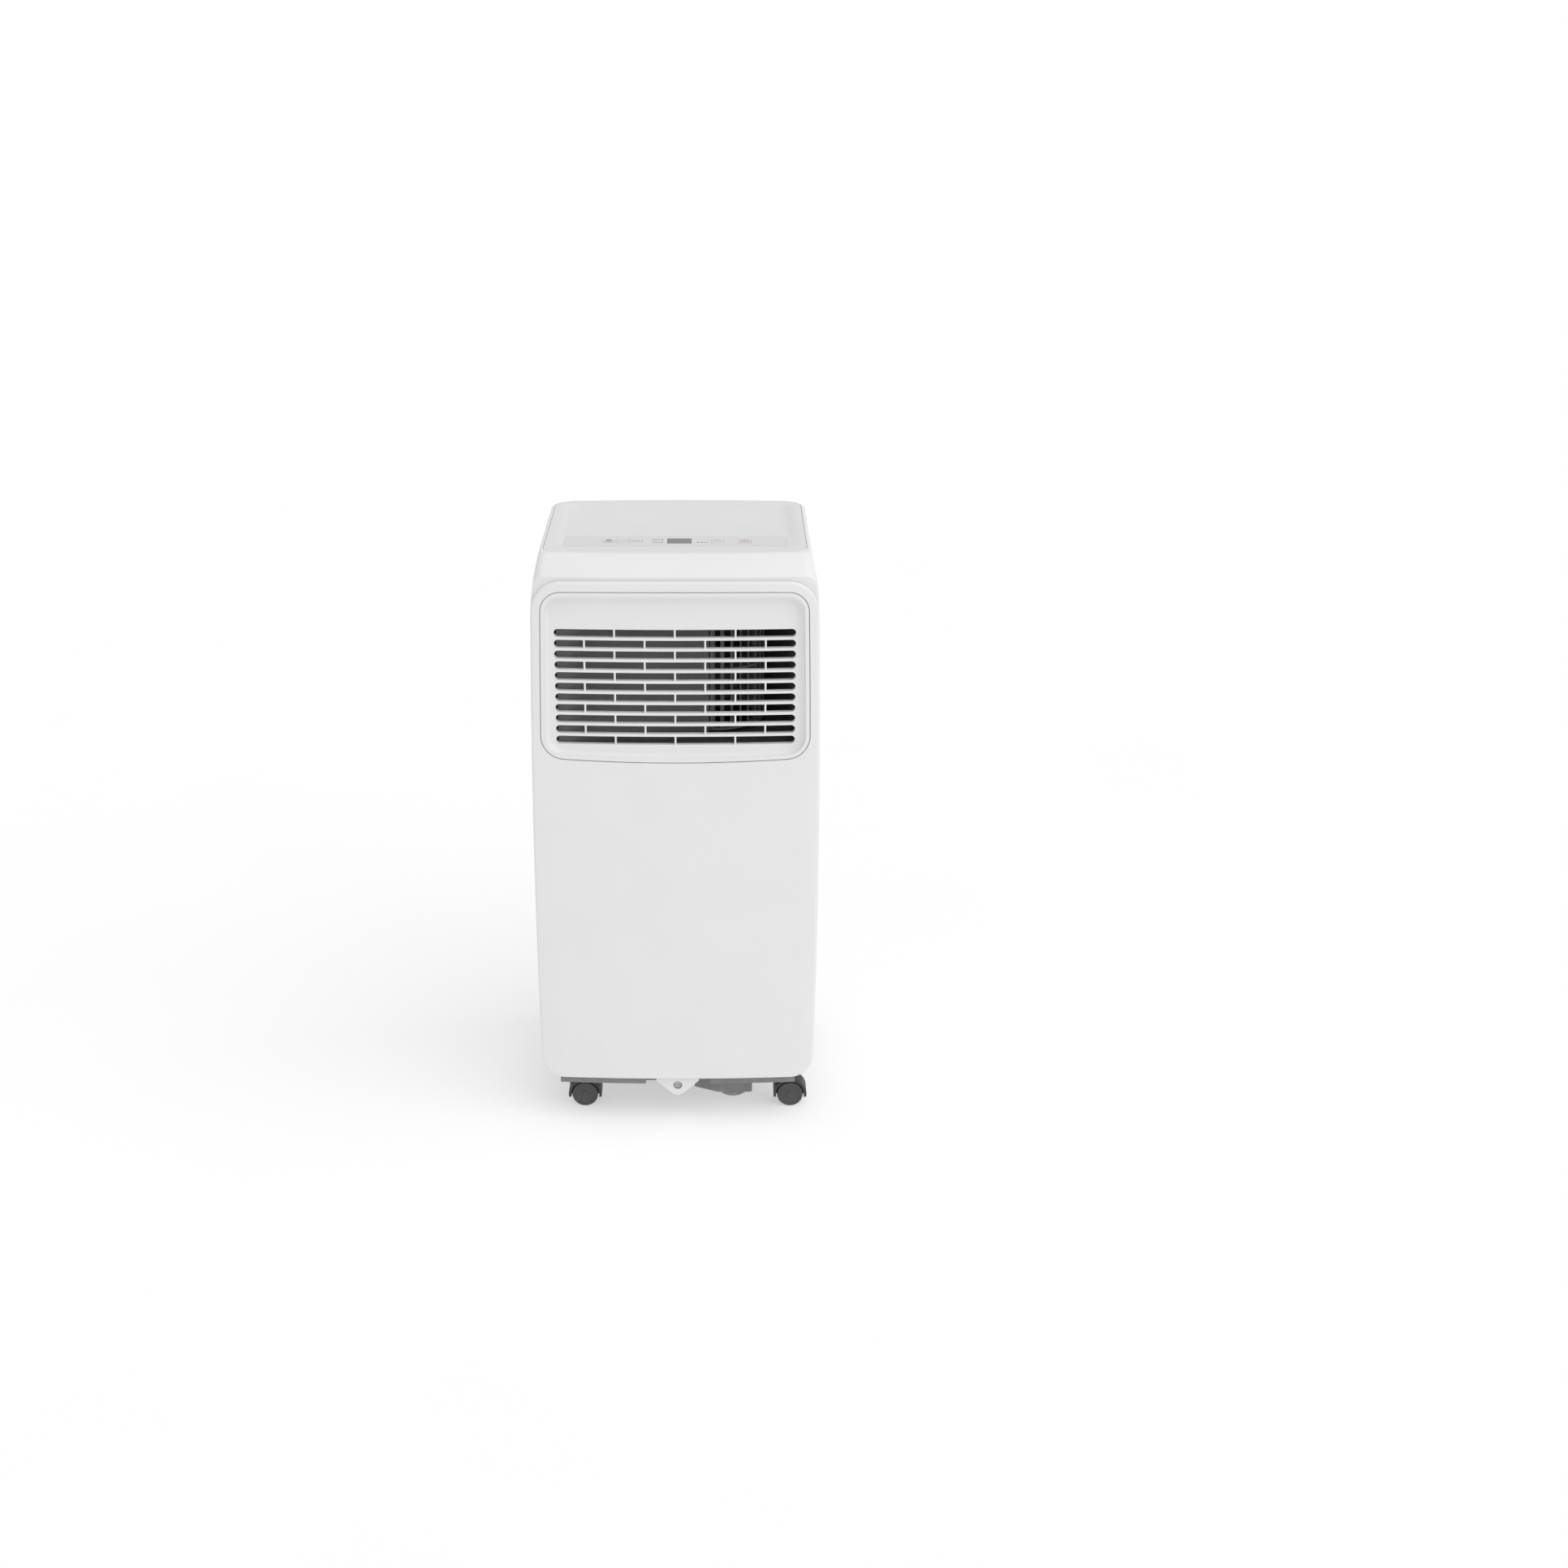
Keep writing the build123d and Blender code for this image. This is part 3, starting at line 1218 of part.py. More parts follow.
with BuildPart() as lower_fan_shaft:
    shaft_start_y = fan_motor_y - motor_length / 2 + motor_gap
    add(rod_y(fan_x, fan_z, shaft_radius, shaft_start_y, fan_wheel_y + hub_length))
save(lower_fan_shaft, "lower_fan_shaft")


# ---- heat exchangers
coil_half_width = panel_half_width - coil_margin


def tube_run(points, radius, bend):
    """Tube along straight runs with rounded corners."""
    with BuildPart() as tube:
        with BuildLine() as route:
            FilletPolyline(*points, radius=bend)
        start = Plane(origin=route.wire() @ 0, z_dir=route.wire() % 0)
        with BuildSketch(start):
            Circle(radius)
        sweep(path=route.wire())
    return tube.part


def tube_levels(z, rows):
    """Heights of a coil's tube rows, lowest first."""
    first = (z[0] + z[1] - (rows - 1) * tube_rise) / 2
    return [first + row * tube_rise for row in range(rows)]


def serpentine(middle_y, levels):
    """Tube that runs to and fro across the coil, one level after another."""
    far = coil_half_width + tube_overhang + tube_rise / 2
    points = [(-coil_half_width - tube_overhang, middle_y, levels[0])]
    side = 1
    for low, high in zip(levels, levels[1:]):
        points += [(side * far, middle_y, low), (side * far, middle_y, high)]
        side = -side
    points.append((side * (coil_half_width + tube_overhang), middle_y, levels[-1]))
    return tube_run(points, tube_radius, tube_rise / 2 - fit)


def fin_pack(y, z, levels):
    """Comb of fins on a core, pierced for the tubes."""
    count = int(2 * coil_half_width / fin_pitch)
    middle_y = sum(y) / 2
    with BuildPart() as fins:
        with BuildSketch(Plane.XY.offset(z[0])):
            with Locations((0, middle_y)):
                Rectangle(2 * coil_half_width, fin_core)
                with GridLocations(fin_pitch, 0, count, 1):
                    Rectangle(fin_thickness, y[1] - y[0])
        extrude(amount=z[1] - z[0])
        with BuildSketch(Plane.YZ.offset(-coil_half_width - fin_pitch)):
            with Locations([(middle_y, level) for level in levels]):
                Circle(tube_radius + tube_play)
        extrude(amount=2 * coil_half_width + 2 * fin_pitch, mode=Mode.SUBTRACT)
    return fins.part


evaporator_y = (back_y - evaporator_gap - evaporator_thickness, back_y - evaporator_gap)
evaporator_height = evaporator_rows * tube_rise + evaporator_lift
evaporator_z = (tray_z + evaporator_lift, tray_z + evaporator_lift + evaporator_height)
evaporator_levels = tube_levels(evaporator_z, evaporator_rows)
evaporator_mid_y = sum(evaporator_y) / 2
condenser_y = (condenser_back_y - condenser_thickness, condenser_back_y)
condenser_room = collar_z - sleeve_radius - condenser_gap_above - pan_floor_z - condenser_lift
row_pairs = int(((condenser_room - evaporator_lift) / tube_rise - 1) / 2)
condenser_rows = 2 * row_pairs + 1  # odd, so that the tube ends on the liquid line's side
condenser_height = condenser_rows * tube_rise + evaporator_lift
condenser_z = (pan_floor_z + condenser_lift, pan_floor_z + condenser_lift + condenser_height)
condenser_levels = tube_levels(condenser_z, condenser_rows)[::-1]
condenser_mid_y = sum(condenser_y) / 2
coils = {
    "evaporator": (evaporator_y, evaporator_z, evaporator_levels, evaporator_mid_y),
    "condenser": (condenser_y, condenser_z, condenser_levels, condenser_mid_y),
}
for coil, (y, z, levels, middle_y) in coils.items():
    with BuildPart() as coil_fins:
        add(fin_pack(y, z, levels))
    save(coil_fins, f"{coil}_fins")
    with BuildPart() as coil_tubes:
        add(serpentine(middle_y, levels))
    save(coil_tubes, f"{coil}_tubes")

line_x = panel_half_width - line_margin
with BuildPart() as condensate_tray:
    tray_half_width = half_width(tray_z, casing_half_width) - wall - tray_clearance
    tray_y = (deep(tray_front), back_y - evaporator_gap + tray_clearance)
    tray_plan = panel_of((0, sum(tray_y) / 2), (2 * tray_half_width, tray_y[1] - tray_y[0]), tray_rim)
    add(along_z(tray_plan, tray_z, tray_z + tray_rim))
    add(along_z(grown(tray_plan, -tray_floor), tray_z + tray_floor, reach), mode=Mode.SUBTRACT)
    for x in (-line_x, line_x):
        add(rod_z(x, evaporator_mid_y, line_hole, 0, reach), mode=Mode.SUBTRACT)
save(condensate_tray, "condensate_tray")


# ---- refrigerant circuit
compressor_z = (pan_floor_top_z + mount_height, pan_floor_top_z + mount_height + compressor_height)
with BuildPart() as compressor:
    add(rod_z(*compressor_at, compressor_radius, *compressor_z))
    fillet(compressor.edges(), compressor_dome)
    foot_z = compressor_z[0]
    with BuildSketch(Plane.XY.offset(foot_z)):
        with Locations(compressor_at):
            with PolarLocations(mount_ring, 3, start_angle=90):
                Circle(mount_radius)
            Circle(mount_ring)
    extrude(amount=plate_thickness)
save(compressor, "compressor")

with BuildPart() as compressor_mounts:
    with BuildSketch(Plane.XY.offset(pan_floor_top_z)):
        with Locations(compressor_at):
            with PolarLocations(mount_ring, 3, start_angle=90):
                Circle(mount_radius - 1)
    extrude(amount=mount_height)
save(compressor_mounts, "compressor_mounts")

accumulator_at = (compressor_at[0] + accumulator_offset[0], compressor_at[1] + accumulator_offset[1])
accumulator_z = (pan_floor_top_z + accumulator_lift, pan_floor_top_z + accumulator_lift + accumulator_height)
with BuildPart() as accumulator:
    add(rod_z(*accumulator_at, accumulator_radius, *accumulator_z))
    fillet(accumulator.edges(), accumulator_radius / 2)
    link_z = accumulator_z[0] - 2 * line_radius
    link = [
        (*accumulator_at, accumulator_z[0] + line_radius),
        (*accumulator_at, link_z),
        (accumulator_at[0], compressor_at[1] + compressor_radius / 2, link_z),
    ]
    add(tube_run(link, line_radius, link_bend))
    add(compressor.part, mode=Mode.SUBTRACT)
save(accumulator, "accumulator")

# ---- refrigerant lines
coil_end_x = coil_half_width + tube_overhang
line_turn_z = shoulder_z + 2 * line_bend
discharge_x = compressor_at[0] + compressor_dome
discharge_y = accumulator_at[1] + accumulator_radius
with BuildPart() as discharge_line:
    route = [
        (discharge_x, compressor_at[1], compressor_z[1] - wall),
        (discharge_x, compressor_at[1], line_turn_z),
        (discharge_x, discharge_y, line_turn_z),
        (-line_x, discharge_y, line_turn_z),
        (-line_x, condenser_mid_y, line_turn_z),
        (-line_x, condenser_mid_y, condenser_levels[0]),
        (-coil_end_x, condenser_mid_y, condenser_levels[0]),
    ]
    add(tube_run(route, line_radius, line_bend))
    add(compressor.part, mode=Mode.SUBTRACT)
save(discharge_line, "discharge_line")

with BuildPart() as suction_line:
    suction_turn_z = line_turn_z + 2 * line_bend
    route = [
        (-coil_end_x, evaporator_mid_y, evaporator_levels[0]),
        (-line_x, evaporator_mid_y, evaporator_levels[0]),
        (-line_x, evaporator_mid_y, suction_turn_z),
        (-line_x, accumulator_at[1], suction_turn_z),
        (*accumulator_at, suction_turn_z),
        (*accumulator_at, accumulator_z[1] - wall),
    ]
    add(tube_run(route, line_radius, line_bend))
    add(accumulator.part, mode=Mode.SUBTRACT)
save(suction_line, "suction_line")

with BuildPart() as liquid_line:
    route = [
        (coil_end_x, condenser_mid_y, condenser_levels[-1]),
        (line_x, condenser_mid_y, condenser_levels[-1]),
        (line_x, evaporator_mid_y, evaporator_levels[-1]),
        (coil_end_x, evaporator_mid_y, evaporator_levels[-1]),
    ]
    add(tube_run(route, line_radius / 2, line_bend))
save(liquid_line, "liquid_line")

with BuildPart() as electrical_box:
    box_x = panel_half_width - box_margin
    box_z = pan_floor_top_z + box_lift
    box_y = deep(box_depth)
    add(block((box_x - box_size[0], box_x), (box_y, box_y + box_size[1]), (box_z, box_z + box_size[2])))
    fillet(electrical_box.edges(), wall)
save(electrical_box, "electrical_box")
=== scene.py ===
import json
import math
import bmesh
import bpy
from mathutils import Matrix, Vector


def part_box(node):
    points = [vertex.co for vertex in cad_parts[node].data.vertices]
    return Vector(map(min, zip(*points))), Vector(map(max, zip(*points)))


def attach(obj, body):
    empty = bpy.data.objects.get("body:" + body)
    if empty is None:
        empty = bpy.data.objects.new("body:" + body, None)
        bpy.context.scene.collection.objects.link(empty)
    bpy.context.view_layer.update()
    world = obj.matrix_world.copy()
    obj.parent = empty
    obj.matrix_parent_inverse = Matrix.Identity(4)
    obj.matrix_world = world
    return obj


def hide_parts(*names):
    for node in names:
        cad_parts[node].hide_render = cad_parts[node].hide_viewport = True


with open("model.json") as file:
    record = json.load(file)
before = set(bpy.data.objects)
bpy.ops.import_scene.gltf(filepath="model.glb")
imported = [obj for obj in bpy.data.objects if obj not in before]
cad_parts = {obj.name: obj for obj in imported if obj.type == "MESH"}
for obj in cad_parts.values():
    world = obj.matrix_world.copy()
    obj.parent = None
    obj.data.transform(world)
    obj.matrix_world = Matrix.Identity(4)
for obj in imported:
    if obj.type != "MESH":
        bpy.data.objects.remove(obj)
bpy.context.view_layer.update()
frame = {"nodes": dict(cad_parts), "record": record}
bodyOfNode = {
    node: body
    for body, nodes in frame["record"]["behaviour"]["bodies"].items()
    for node in nodes
}
print("frame loaded:", len(frame["nodes"]), "nodes")


# shader groups, built once and used by several materials

def newGroup(name, inputs, outputs):
    group = bpy.data.node_groups.new(name, "ShaderNodeTree")
    for label, value in inputs.items():
        socket = group.interface.new_socket(name=label, in_out="INPUT", socket_type="NodeSocketFloat")
        socket.default_value = value
    for label in outputs:
        group.interface.new_socket(name=label, in_out="OUTPUT", socket_type="NodeSocketFloat")
    return group, group.nodes.new("NodeGroupInput"), group.nodes.new("NodeGroupOutput")


def noiseNode(tree, scale, detail, vector):
    noise = tree.nodes.new("ShaderNodeTexNoise")
    noise.inputs["Scale"].default_value = scale
    noise.inputs["Detail"].default_value = detail
    tree.links.new(vector, noise.inputs["Vector"])
    return noise


def rangeNode(tree, value, low, high, toLow=0.0, toHigh=1.0):
    node = tree.nodes.new("ShaderNodeMapRange")
    for label, number in (("From Min", low), ("From Max", high), ("To Min", toLow), ("To Max", toHigh)):
        node.inputs[label].default_value = number
    tree.links.new(value, node.inputs["Value"])
    return node.outputs["Result"]


def mouldGrainGroup():
    # spark-eroded mould texture: fine cells for the bump, soft clouds for the tone
    group, start, end = newGroup("mouldGrain", {"Grain": 900.0, "Cloud": 14.0}, ("Height", "Tone"))
    coords = group.nodes.new("ShaderNodeTexCoord").outputs["Object"]
    cells = group.nodes.new("ShaderNodeTexVoronoi")
    cells.feature = "SMOOTH_F1"
    group.links.new(coords, cells.inputs["Vector"])
    group.links.new(start.outputs["Grain"], cells.inputs["Scale"])
    fine = noiseNode(group, 1500.0, 2.0, coords)
    blend = group.nodes.new("ShaderNodeMath")
    blend.operation = "ADD"
    group.links.new(cells.outputs["Distance"], blend.inputs[0])
    group.links.new(rangeNode(group, fine.outputs["Fac"], 0.3, 0.7, 0.0, 0.5), blend.inputs[1])
    group.links.new(blend.outputs[0], end.inputs["Height"])
    cloud = noiseNode(group, 14.0, 3.0, coords)
    group.links.new(start.outputs["Cloud"], cloud.inputs["Scale"])
    group.links.new(rangeNode(group, cloud.outputs["Fac"], 0.3, 0.7), end.inputs["Tone"])
    return group


def drawnMarksGroup():
    # long fine marks of rolled or drawn metal, along X
    group, start, end = newGroup("drawnMarks", {"Stretch": 0.03, "Fineness": 700.0}, ("Height", "Tone"))
    coords = group.nodes.new("ShaderNodeTexCoord").outputs["Object"]
    parts = group.nodes.new("ShaderNodeSeparateXYZ")
    group.links.new(coords, parts.inputs[0])
    squeeze = group.nodes.new("ShaderNodeMath")
    squeeze.operation = "MULTIPLY"
    group.links.new(parts.outputs["X"], squeeze.inputs[0])
    group.links.new(start.outputs["Stretch"], squeeze.inputs[1])
    joined = group.nodes.new("ShaderNodeCombineXYZ")
    group.links.new(squeeze.outputs[0], joined.inputs["X"])
    group.links.new(parts.outputs["Y"], joined.inputs["Y"])
    group.links.new(parts.outputs["Z"], joined.inputs["Z"])
    marks = noiseNode(group, 700.0, 3.0, joined.outputs[0])
    group.links.new(start.outputs["Fineness"], marks.inputs["Scale"])
    group.links.new(marks.outputs["Fac"], end.inputs["Height"])
    cloud = noiseNode(group, 40.0, 4.0, coords)
    group.links.new(rangeNode(group, cloud.outputs["Fac"], 0.35, 0.7), end.inputs["Tone"])
    return group


def floorDustGroup():
    # dust that gathers near the floor and thins out upwards
    group, start, end = newGroup("floorDust", {"Top": 0.09, "Amount": 0.4}, ("Dust",))
    coords = group.nodes.new("ShaderNodeTexCoord").outputs["Object"]
    parts = group.nodes.new("ShaderNodeSeparateXYZ")
    group.links.new(coords, parts.inputs[0])
    fade = group.nodes.new("ShaderNodeMapRange")
    group.links.new(parts.outputs["Z"], fade.inputs["Value"])
    group.links.new(start.outputs["Top"], fade.inputs["From Min"])
    fade.inputs["From Max"].default_value = 0.0
    specks = noiseNode(group, 160.0, 6.0, coords)
    mask = rangeNode(group, specks.outputs["Fac"], 0.42, 0.68)
    product = group.nodes.new("ShaderNodeMath")
    product.operation = "MULTIPLY"
    group.links.new(fade.outputs["Result"], product.inputs[0])
    group.links.new(mask, product.inputs[1])
    scaled = group.nodes.new("ShaderNodeMath")
    scaled.operation = "MULTIPLY"
    group.links.new(product.outputs[0], scaled.inputs[0])
    group.links.new(start.outputs["Amount"], scaled.inputs[1])
    group.links.new(scaled.outputs[0], end.inputs["Dust"])
    return group


mouldGrain = mouldGrainGroup()
drawnMarks = drawnMarksGroup()
floorDust = floorDustGroup()


# materials

def startMaterial(name):
    material = bpy.data.materials.new(name)
    material.use_nodes = True
    return material, material.node_tree, material.node_tree.nodes["Principled BSDF"]


def placeGroup(tree, group, values):
    node = tree.nodes.new("ShaderNodeGroup")
    node.node_tree = group
    for label, value in values.items():
        node.inputs[label].default_value = value
    return node


def mixColours(tree, factor, first, second):
    mix = tree.nodes.new("ShaderNodeMix")
    mix.data_type = "RGBA"
    tree.links.new(factor, mix.inputs["Factor"])
    for socket, colour in ((mix.inputs["A"], first), (mix.inputs["B"], second)):
        if isinstance(colour, bpy.types.NodeSocket):
            tree.links.new(colour, socket)
        else:
            socket.default_value = (*colour, 1.0)
    return mix.outputs["Result"]


def bumpNormal(tree, bsdf, height, strength, distance):
    bump = tree.nodes.new("ShaderNodeBump")
    bump.inputs["Strength"].default_value = strength
    bump.inputs["Distance"].default_value = distance
    tree.links.new(height, bump.inputs["Height"])
    tree.links.new(bump.outputs["Normal"], bsdf.inputs["Normal"])


dustSpec = {"top": 0.09, "tone": (0.42, 0.40, 0.37)}


def plastic(name, light, shade, rough, grain=900.0, bump=0.12, specular=0.4, dust=0.0, coat=0.0):
    material, tree, bsdf = startMaterial(name)
    grainNode = placeGroup(tree, mouldGrain, {"Grain": grain, "Cloud": 14.0})
    colour = mixColours(tree, grainNode.outputs["Tone"], light, shade)
    roughness = rangeNode(tree, grainNode.outputs["Tone"], 0.0, 1.0, rough - 0.04, rough + 0.05)
    if dust:
        dustNode = placeGroup(tree, floorDust, {"Top": dustSpec["top"], "Amount": dust})
        colour = mixColours(tree, dustNode.outputs["Dust"], colour, dustSpec["tone"])
    tree.links.new(colour, bsdf.inputs["Base Color"])
    tree.links.new(roughness, bsdf.inputs["Roughness"])
    bsdf.inputs["Specular IOR Level"].default_value = specular
    bsdf.inputs["Coat Weight"].default_value = coat
    bumpNormal(tree, bsdf, grainNode.outputs["Height"], bump, 0.0002)
    return material


def metal(name, light, shade, rough, stretch=0.03, bump=0.2, metallic=1.0):
    material, tree, bsdf = startMaterial(name)
    marks = placeGroup(tree, drawnMarks, {"Stretch": stretch, "Fineness": 700.0})
    colour = mixColours(tree, marks.outputs["Tone"], light, shade)
    roughness = rangeNode(tree, marks.outputs["Height"], 0.3, 0.7, rough - 0.08, rough + 0.1)
    tree.links.new(colour, bsdf.inputs["Base Color"])
    tree.links.new(roughness, bsdf.inputs["Roughness"])
    bsdf.inputs["Metallic"].default_value = metallic
    bumpNormal(tree, bsdf, marks.outputs["Height"], bump, 0.0001)
    return material


def smokedGlass(name, light, shade):
    material, tree, bsdf = startMaterial(name)
    grainNode = placeGroup(tree, mouldGrain, {"Grain": 500.0, "Cloud": 60.0})
    colour = mixColours(tree, grainNode.outputs["Tone"], light, shade)
    roughness = rangeNode(tree, grainNode.outputs["Tone"], 0.0, 1.0, 0.16, 0.24)
    tree.links.new(colour, bsdf.inputs["Base Color"])
    tree.links.new(roughness, bsdf.inputs["Roughness"])
    bsdf.inputs["Coat Weight"].default_value = 0.4
    return material


tones = {  # light tone, shaded tone, roughness
    "shellWhite": ((0.80, 0.802, 0.802), (0.785, 0.787, 0.788), 0.46),
    "deckWhite": ((0.745, 0.748, 0.747), (0.73, 0.733, 0.732), 0.52),
    "stripFilm": ((0.70, 0.704, 0.706), (0.69, 0.694, 0.695), 0.38),
    "collarWhite": ((0.79, 0.79, 0.785), (0.76, 0.76, 0.755), 0.5),
    "panGrey": ((0.23, 0.232, 0.238), (0.20, 0.202, 0.206), 0.58),
    "casterBlack": ((0.044, 0.044, 0.046), (0.036, 0.036, 0.038), 0.5),
    "wheelBlack": ((0.074, 0.074, 0.077), (0.068, 0.068, 0.071), 0.5),
    "ductGrey": ((0.135, 0.137, 0.14), (0.115, 0.117, 0.12), 0.7),
    "bladeGrey": ((0.24, 0.24, 0.245), (0.20, 0.20, 0.205), 0.5),
    "boardGreen": ((0.03, 0.16, 0.07), (0.02, 0.11, 0.05), 0.35),
    "rubberBlack": ((0.03, 0.03, 0.03), (0.05, 0.05, 0.05), 0.8),
    "paintBlack": ((0.018, 0.018, 0.02), (0.03, 0.03, 0.032), 0.34),
    "zincSteel": ((0.56, 0.56, 0.55), (0.42, 0.42, 0.42), 0.34),
    "motorSteel": ((0.42, 0.42, 0.43), (0.30, 0.30, 0.31), 0.4),
    "finAluminium": ((0.74, 0.75, 0.77), (0.6, 0.62, 0.64), 0.32),
    "copperTube": ((0.78, 0.42, 0.27), (0.55, 0.27, 0.17), 0.3),
    "netGrey": ((0.06, 0.065, 0.07), (0.05, 0.052, 0.056), 0.7),
    "inkGrey": ((0.16, 0.165, 0.17), (0.19, 0.19, 0.195), 0.5),
    "inkPale": ((0.40, 0.405, 0.41), (0.45, 0.45, 0.455), 0.5),
    "inkRed": ((0.50, 0.13, 0.12), (0.56, 0.17, 0.16), 0.5),
}
shellWhite = plastic("shellWhite", *tones["shellWhite"], bump=0.08)
deckWhite = plastic("deckWhite", *tones["deckWhite"], grain=1100.0, bump=0.1)
stripFilm = plastic("stripFilm", *tones["stripFilm"], grain=2200.0, bump=0.04, coat=0.15)
collarWhite = plastic("collarWhite", *tones["collarWhite"])
panGrey = plastic("panGrey", *tones["panGrey"], dust=0.35)
casterBlack = plastic("casterBlack", *tones["casterBlack"], bump=0.15, dust=0.05)
wheelBlack = plastic("wheelBlack", *tones["wheelBlack"], bump=0.12, dust=0.05)
ductGrey = plastic("ductGrey", *tones["ductGrey"], grain=600.0, bump=0.3)
bladeGrey = plastic("bladeGrey", *tones["bladeGrey"])
boardGreen = plastic("boardGreen", *tones["boardGreen"])
rubberBlack = plastic("rubberBlack", *tones["rubberBlack"], bump=0.3)
paintBlack = metal("paintBlack", *tones["paintBlack"], stretch=1.0, bump=0.3, metallic=0.0)
zincSteel = metal("zincSteel", *tones["zincSteel"])
motorSteel = metal("motorSteel", *tones["motorSteel"])
finAluminium = metal("finAluminium", *tones["finAluminium"], stretch=1.0, bump=0.1)
copperTube = metal("copperTube", *tones["copperTube"])
netGrey = plastic("netGrey", *tones["netGrey"])
windowGlass = smokedGlass("windowGlass", (0.055, 0.058, 0.062), (0.075, 0.078, 0.082))
inkGrey, inkPale, inkRed = (
    plastic(name, *tones[name], grain=3000.0, bump=0.02)
    for name in ("inkGrey", "inkPale", "inkRed")
)
print("materials made:", len(bpy.data.materials))


# helpers for pieces

def finishPiece(bm, name, body, material, nodes=(), smoothAngle=32.0):
    mesh = bpy.data.meshes.new(name)
    bm.to_mesh(mesh)
    bm.free()
    for label in [item.name for item in mesh.attributes if item.name == "custom_normal"]:
        mesh.attributes.remove(mesh.attributes[label])
    mesh.materials.clear()
    mesh.materials.append(material)
    mesh.polygons.foreach_set("use_smooth", [True] * len(mesh.polygons))
    mesh.polygons.foreach_set("material_index", [0] * len(mesh.polygons))
    mesh.set_sharp_from_angle(angle=math.radians(smoothAngle))
    piece = bpy.data.objects.new(name, mesh)
    bpy.context.scene.collection.objects.link(piece)
    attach(piece, body)
    if nodes:
        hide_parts(*nodes)
    return piece


def smoothedNode(node, name, material, smoothAngle=32.0):
    # the node's own shape with joined triangles, so its curves shade smoothly
    bm = bmesh.new()
    bm.from_mesh(frame["nodes"][node].data)
    bmesh.ops.remove_doubles(bm, verts=bm.verts, dist=0.00001)
    return finishPiece(bm, name, bodyOfNode[node], material, (node,), smoothAngle)


def addBox(bm, low, high):
    size = [high[i] - low[i] for i in range(3)]
    middle = [(high[i] + low[i]) / 2 for i in range(3)]
    made = bmesh.ops.create_cube(bm, size=1.0)
    bmesh.ops.scale(bm, vec=size, verts=made["verts"])
    bmesh.ops.translate(bm, vec=middle, verts=made["verts"])
    return made["verts"]


def spinProfile(bm, points, steps):
    # turns a profile of (radius, height) points about Z into a closed solid
    verts = [bm.verts.new((radius, 0.0, height)) for radius, height in points]
    edges = [bm.edges.new((a, b)) for a, b in zip(verts, verts[1:])]
    bmesh.ops.spin(bm, geom=verts + edges, axis=(0, 0, 1), cent=(0, 0, 0),
                   angle=math.tau, steps=steps, use_merge=True)
    bmesh.ops.remove_doubles(bm, verts=bm.verts, dist=0.000005)
    bmesh.ops.recalc_face_normals(bm, faces=bm.faces)


def centreOf(node):
    low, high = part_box(node)
    return [(low[i] + high[i]) / 2 for i in range(3)]


# casing: the CAD shapes with smooth shading and moulded finishes

casing = {
    "front_panel": ("frontPanel", shellWhite, "white_shell"),
    "body_shell": ("bodyShell", shellWhite, "white_shell"),
    "rear_panel": ("rearPanel", shellWhite, "white_shell"),
    "outlet_grille": ("outletGrille", shellWhite, "white_shell"),
    "top_deck": ("topDeck", deckWhite, "white_deck"),
    "control_overlay": ("controlStrip", stripFilm, "pale_strip"),
    "handle_left": ("gripLeft", shellWhite, "white_shell"),
    "handle_right": ("gripRight", shellWhite, "white_shell"),
    "upper_filter_frame": ("upperFilterFrame", shellWhite, "white_shell"),
    "lower_filter_frame": ("lowerFilterFrame", shellWhite, "white_shell"),
    "exhaust_collar": ("exhaustCollar", collarWhite, "collar_plastic"),
    "base_pan": ("basePan", panGrey, "grey_pan"),
    "drain_cap_upper": ("upperDrainCap", panGrey, "grey_pan"),
    "drain_cap_lower": ("lowerDrainCap", panGrey, "grey_pan"),
    "upper_volute": ("outletDuct", ductGrey, "foam_grey"),
    "upper_volute_lid": ("outletDuctLid", ductGrey, "foam_grey"),
}
for node, (name, material, slotName) in casing.items():
    smoothedNode(node, name, material)
for key in ("mode", "fan", "down", "up", "power"):
    smoothedNode(f"key_{key}", f"{key}Key", stripFilm)
print("casing pieces made")


# CAD nodes that keep their own shape and only change finish

finishes = {
    "display_window": windowGlass,
    "control_board": boardGreen,
    "cord_gland": rubberBlack,
    "front_screw": zincSteel,
    "rear_screws": zincSteel,
    "lower_volute": ductGrey,
    "lower_volute_cover": ductGrey,
    "condensate_tray": ductGrey,
    "electrical_box": ductGrey,
    "upper_fan_motor": motorSteel,
    "lower_fan_motor": motorSteel,
    "upper_fan_shaft": zincSteel,
    "lower_fan_shaft": zincSteel,
    "lower_blower_wheel": bladeGrey,
    "evaporator_tubes": copperTube,
    "condenser_tubes": copperTube,
    "suction_line": copperTube,
    "discharge_line": copperTube,
    "liquid_line": copperTube,
    "compressor": paintBlack,
    "accumulator": paintBlack,
    "compressor_mounts": rubberBlack,
}
for node, material in finishes.items():
    holder = frame["nodes"][node]
    for index in range(len(holder.material_slots)):
        holder.material_slots[index].material = material
print("finishes given to CAD nodes")


# outlet blower: curved blades between three rings, with a hub on the shaft

blowerSpec = {
    "blades": 31, "bladeArc": 62.0, "bladeBend": 0.0085, "bladeLean": 0.004, "bladeThick": 0.0009,
    "bladeSteps": 5, "bladeInset": 0.0006, "endGap": 0.001,
    "ringThick": 0.0024, "ringDepth": 0.010, "shaftHole": 0.0042,
    "hubRadius": 0.011, "hubHeight": 0.018, "flangeRadius": 0.0125, "flangeHeight": 0.004,
}


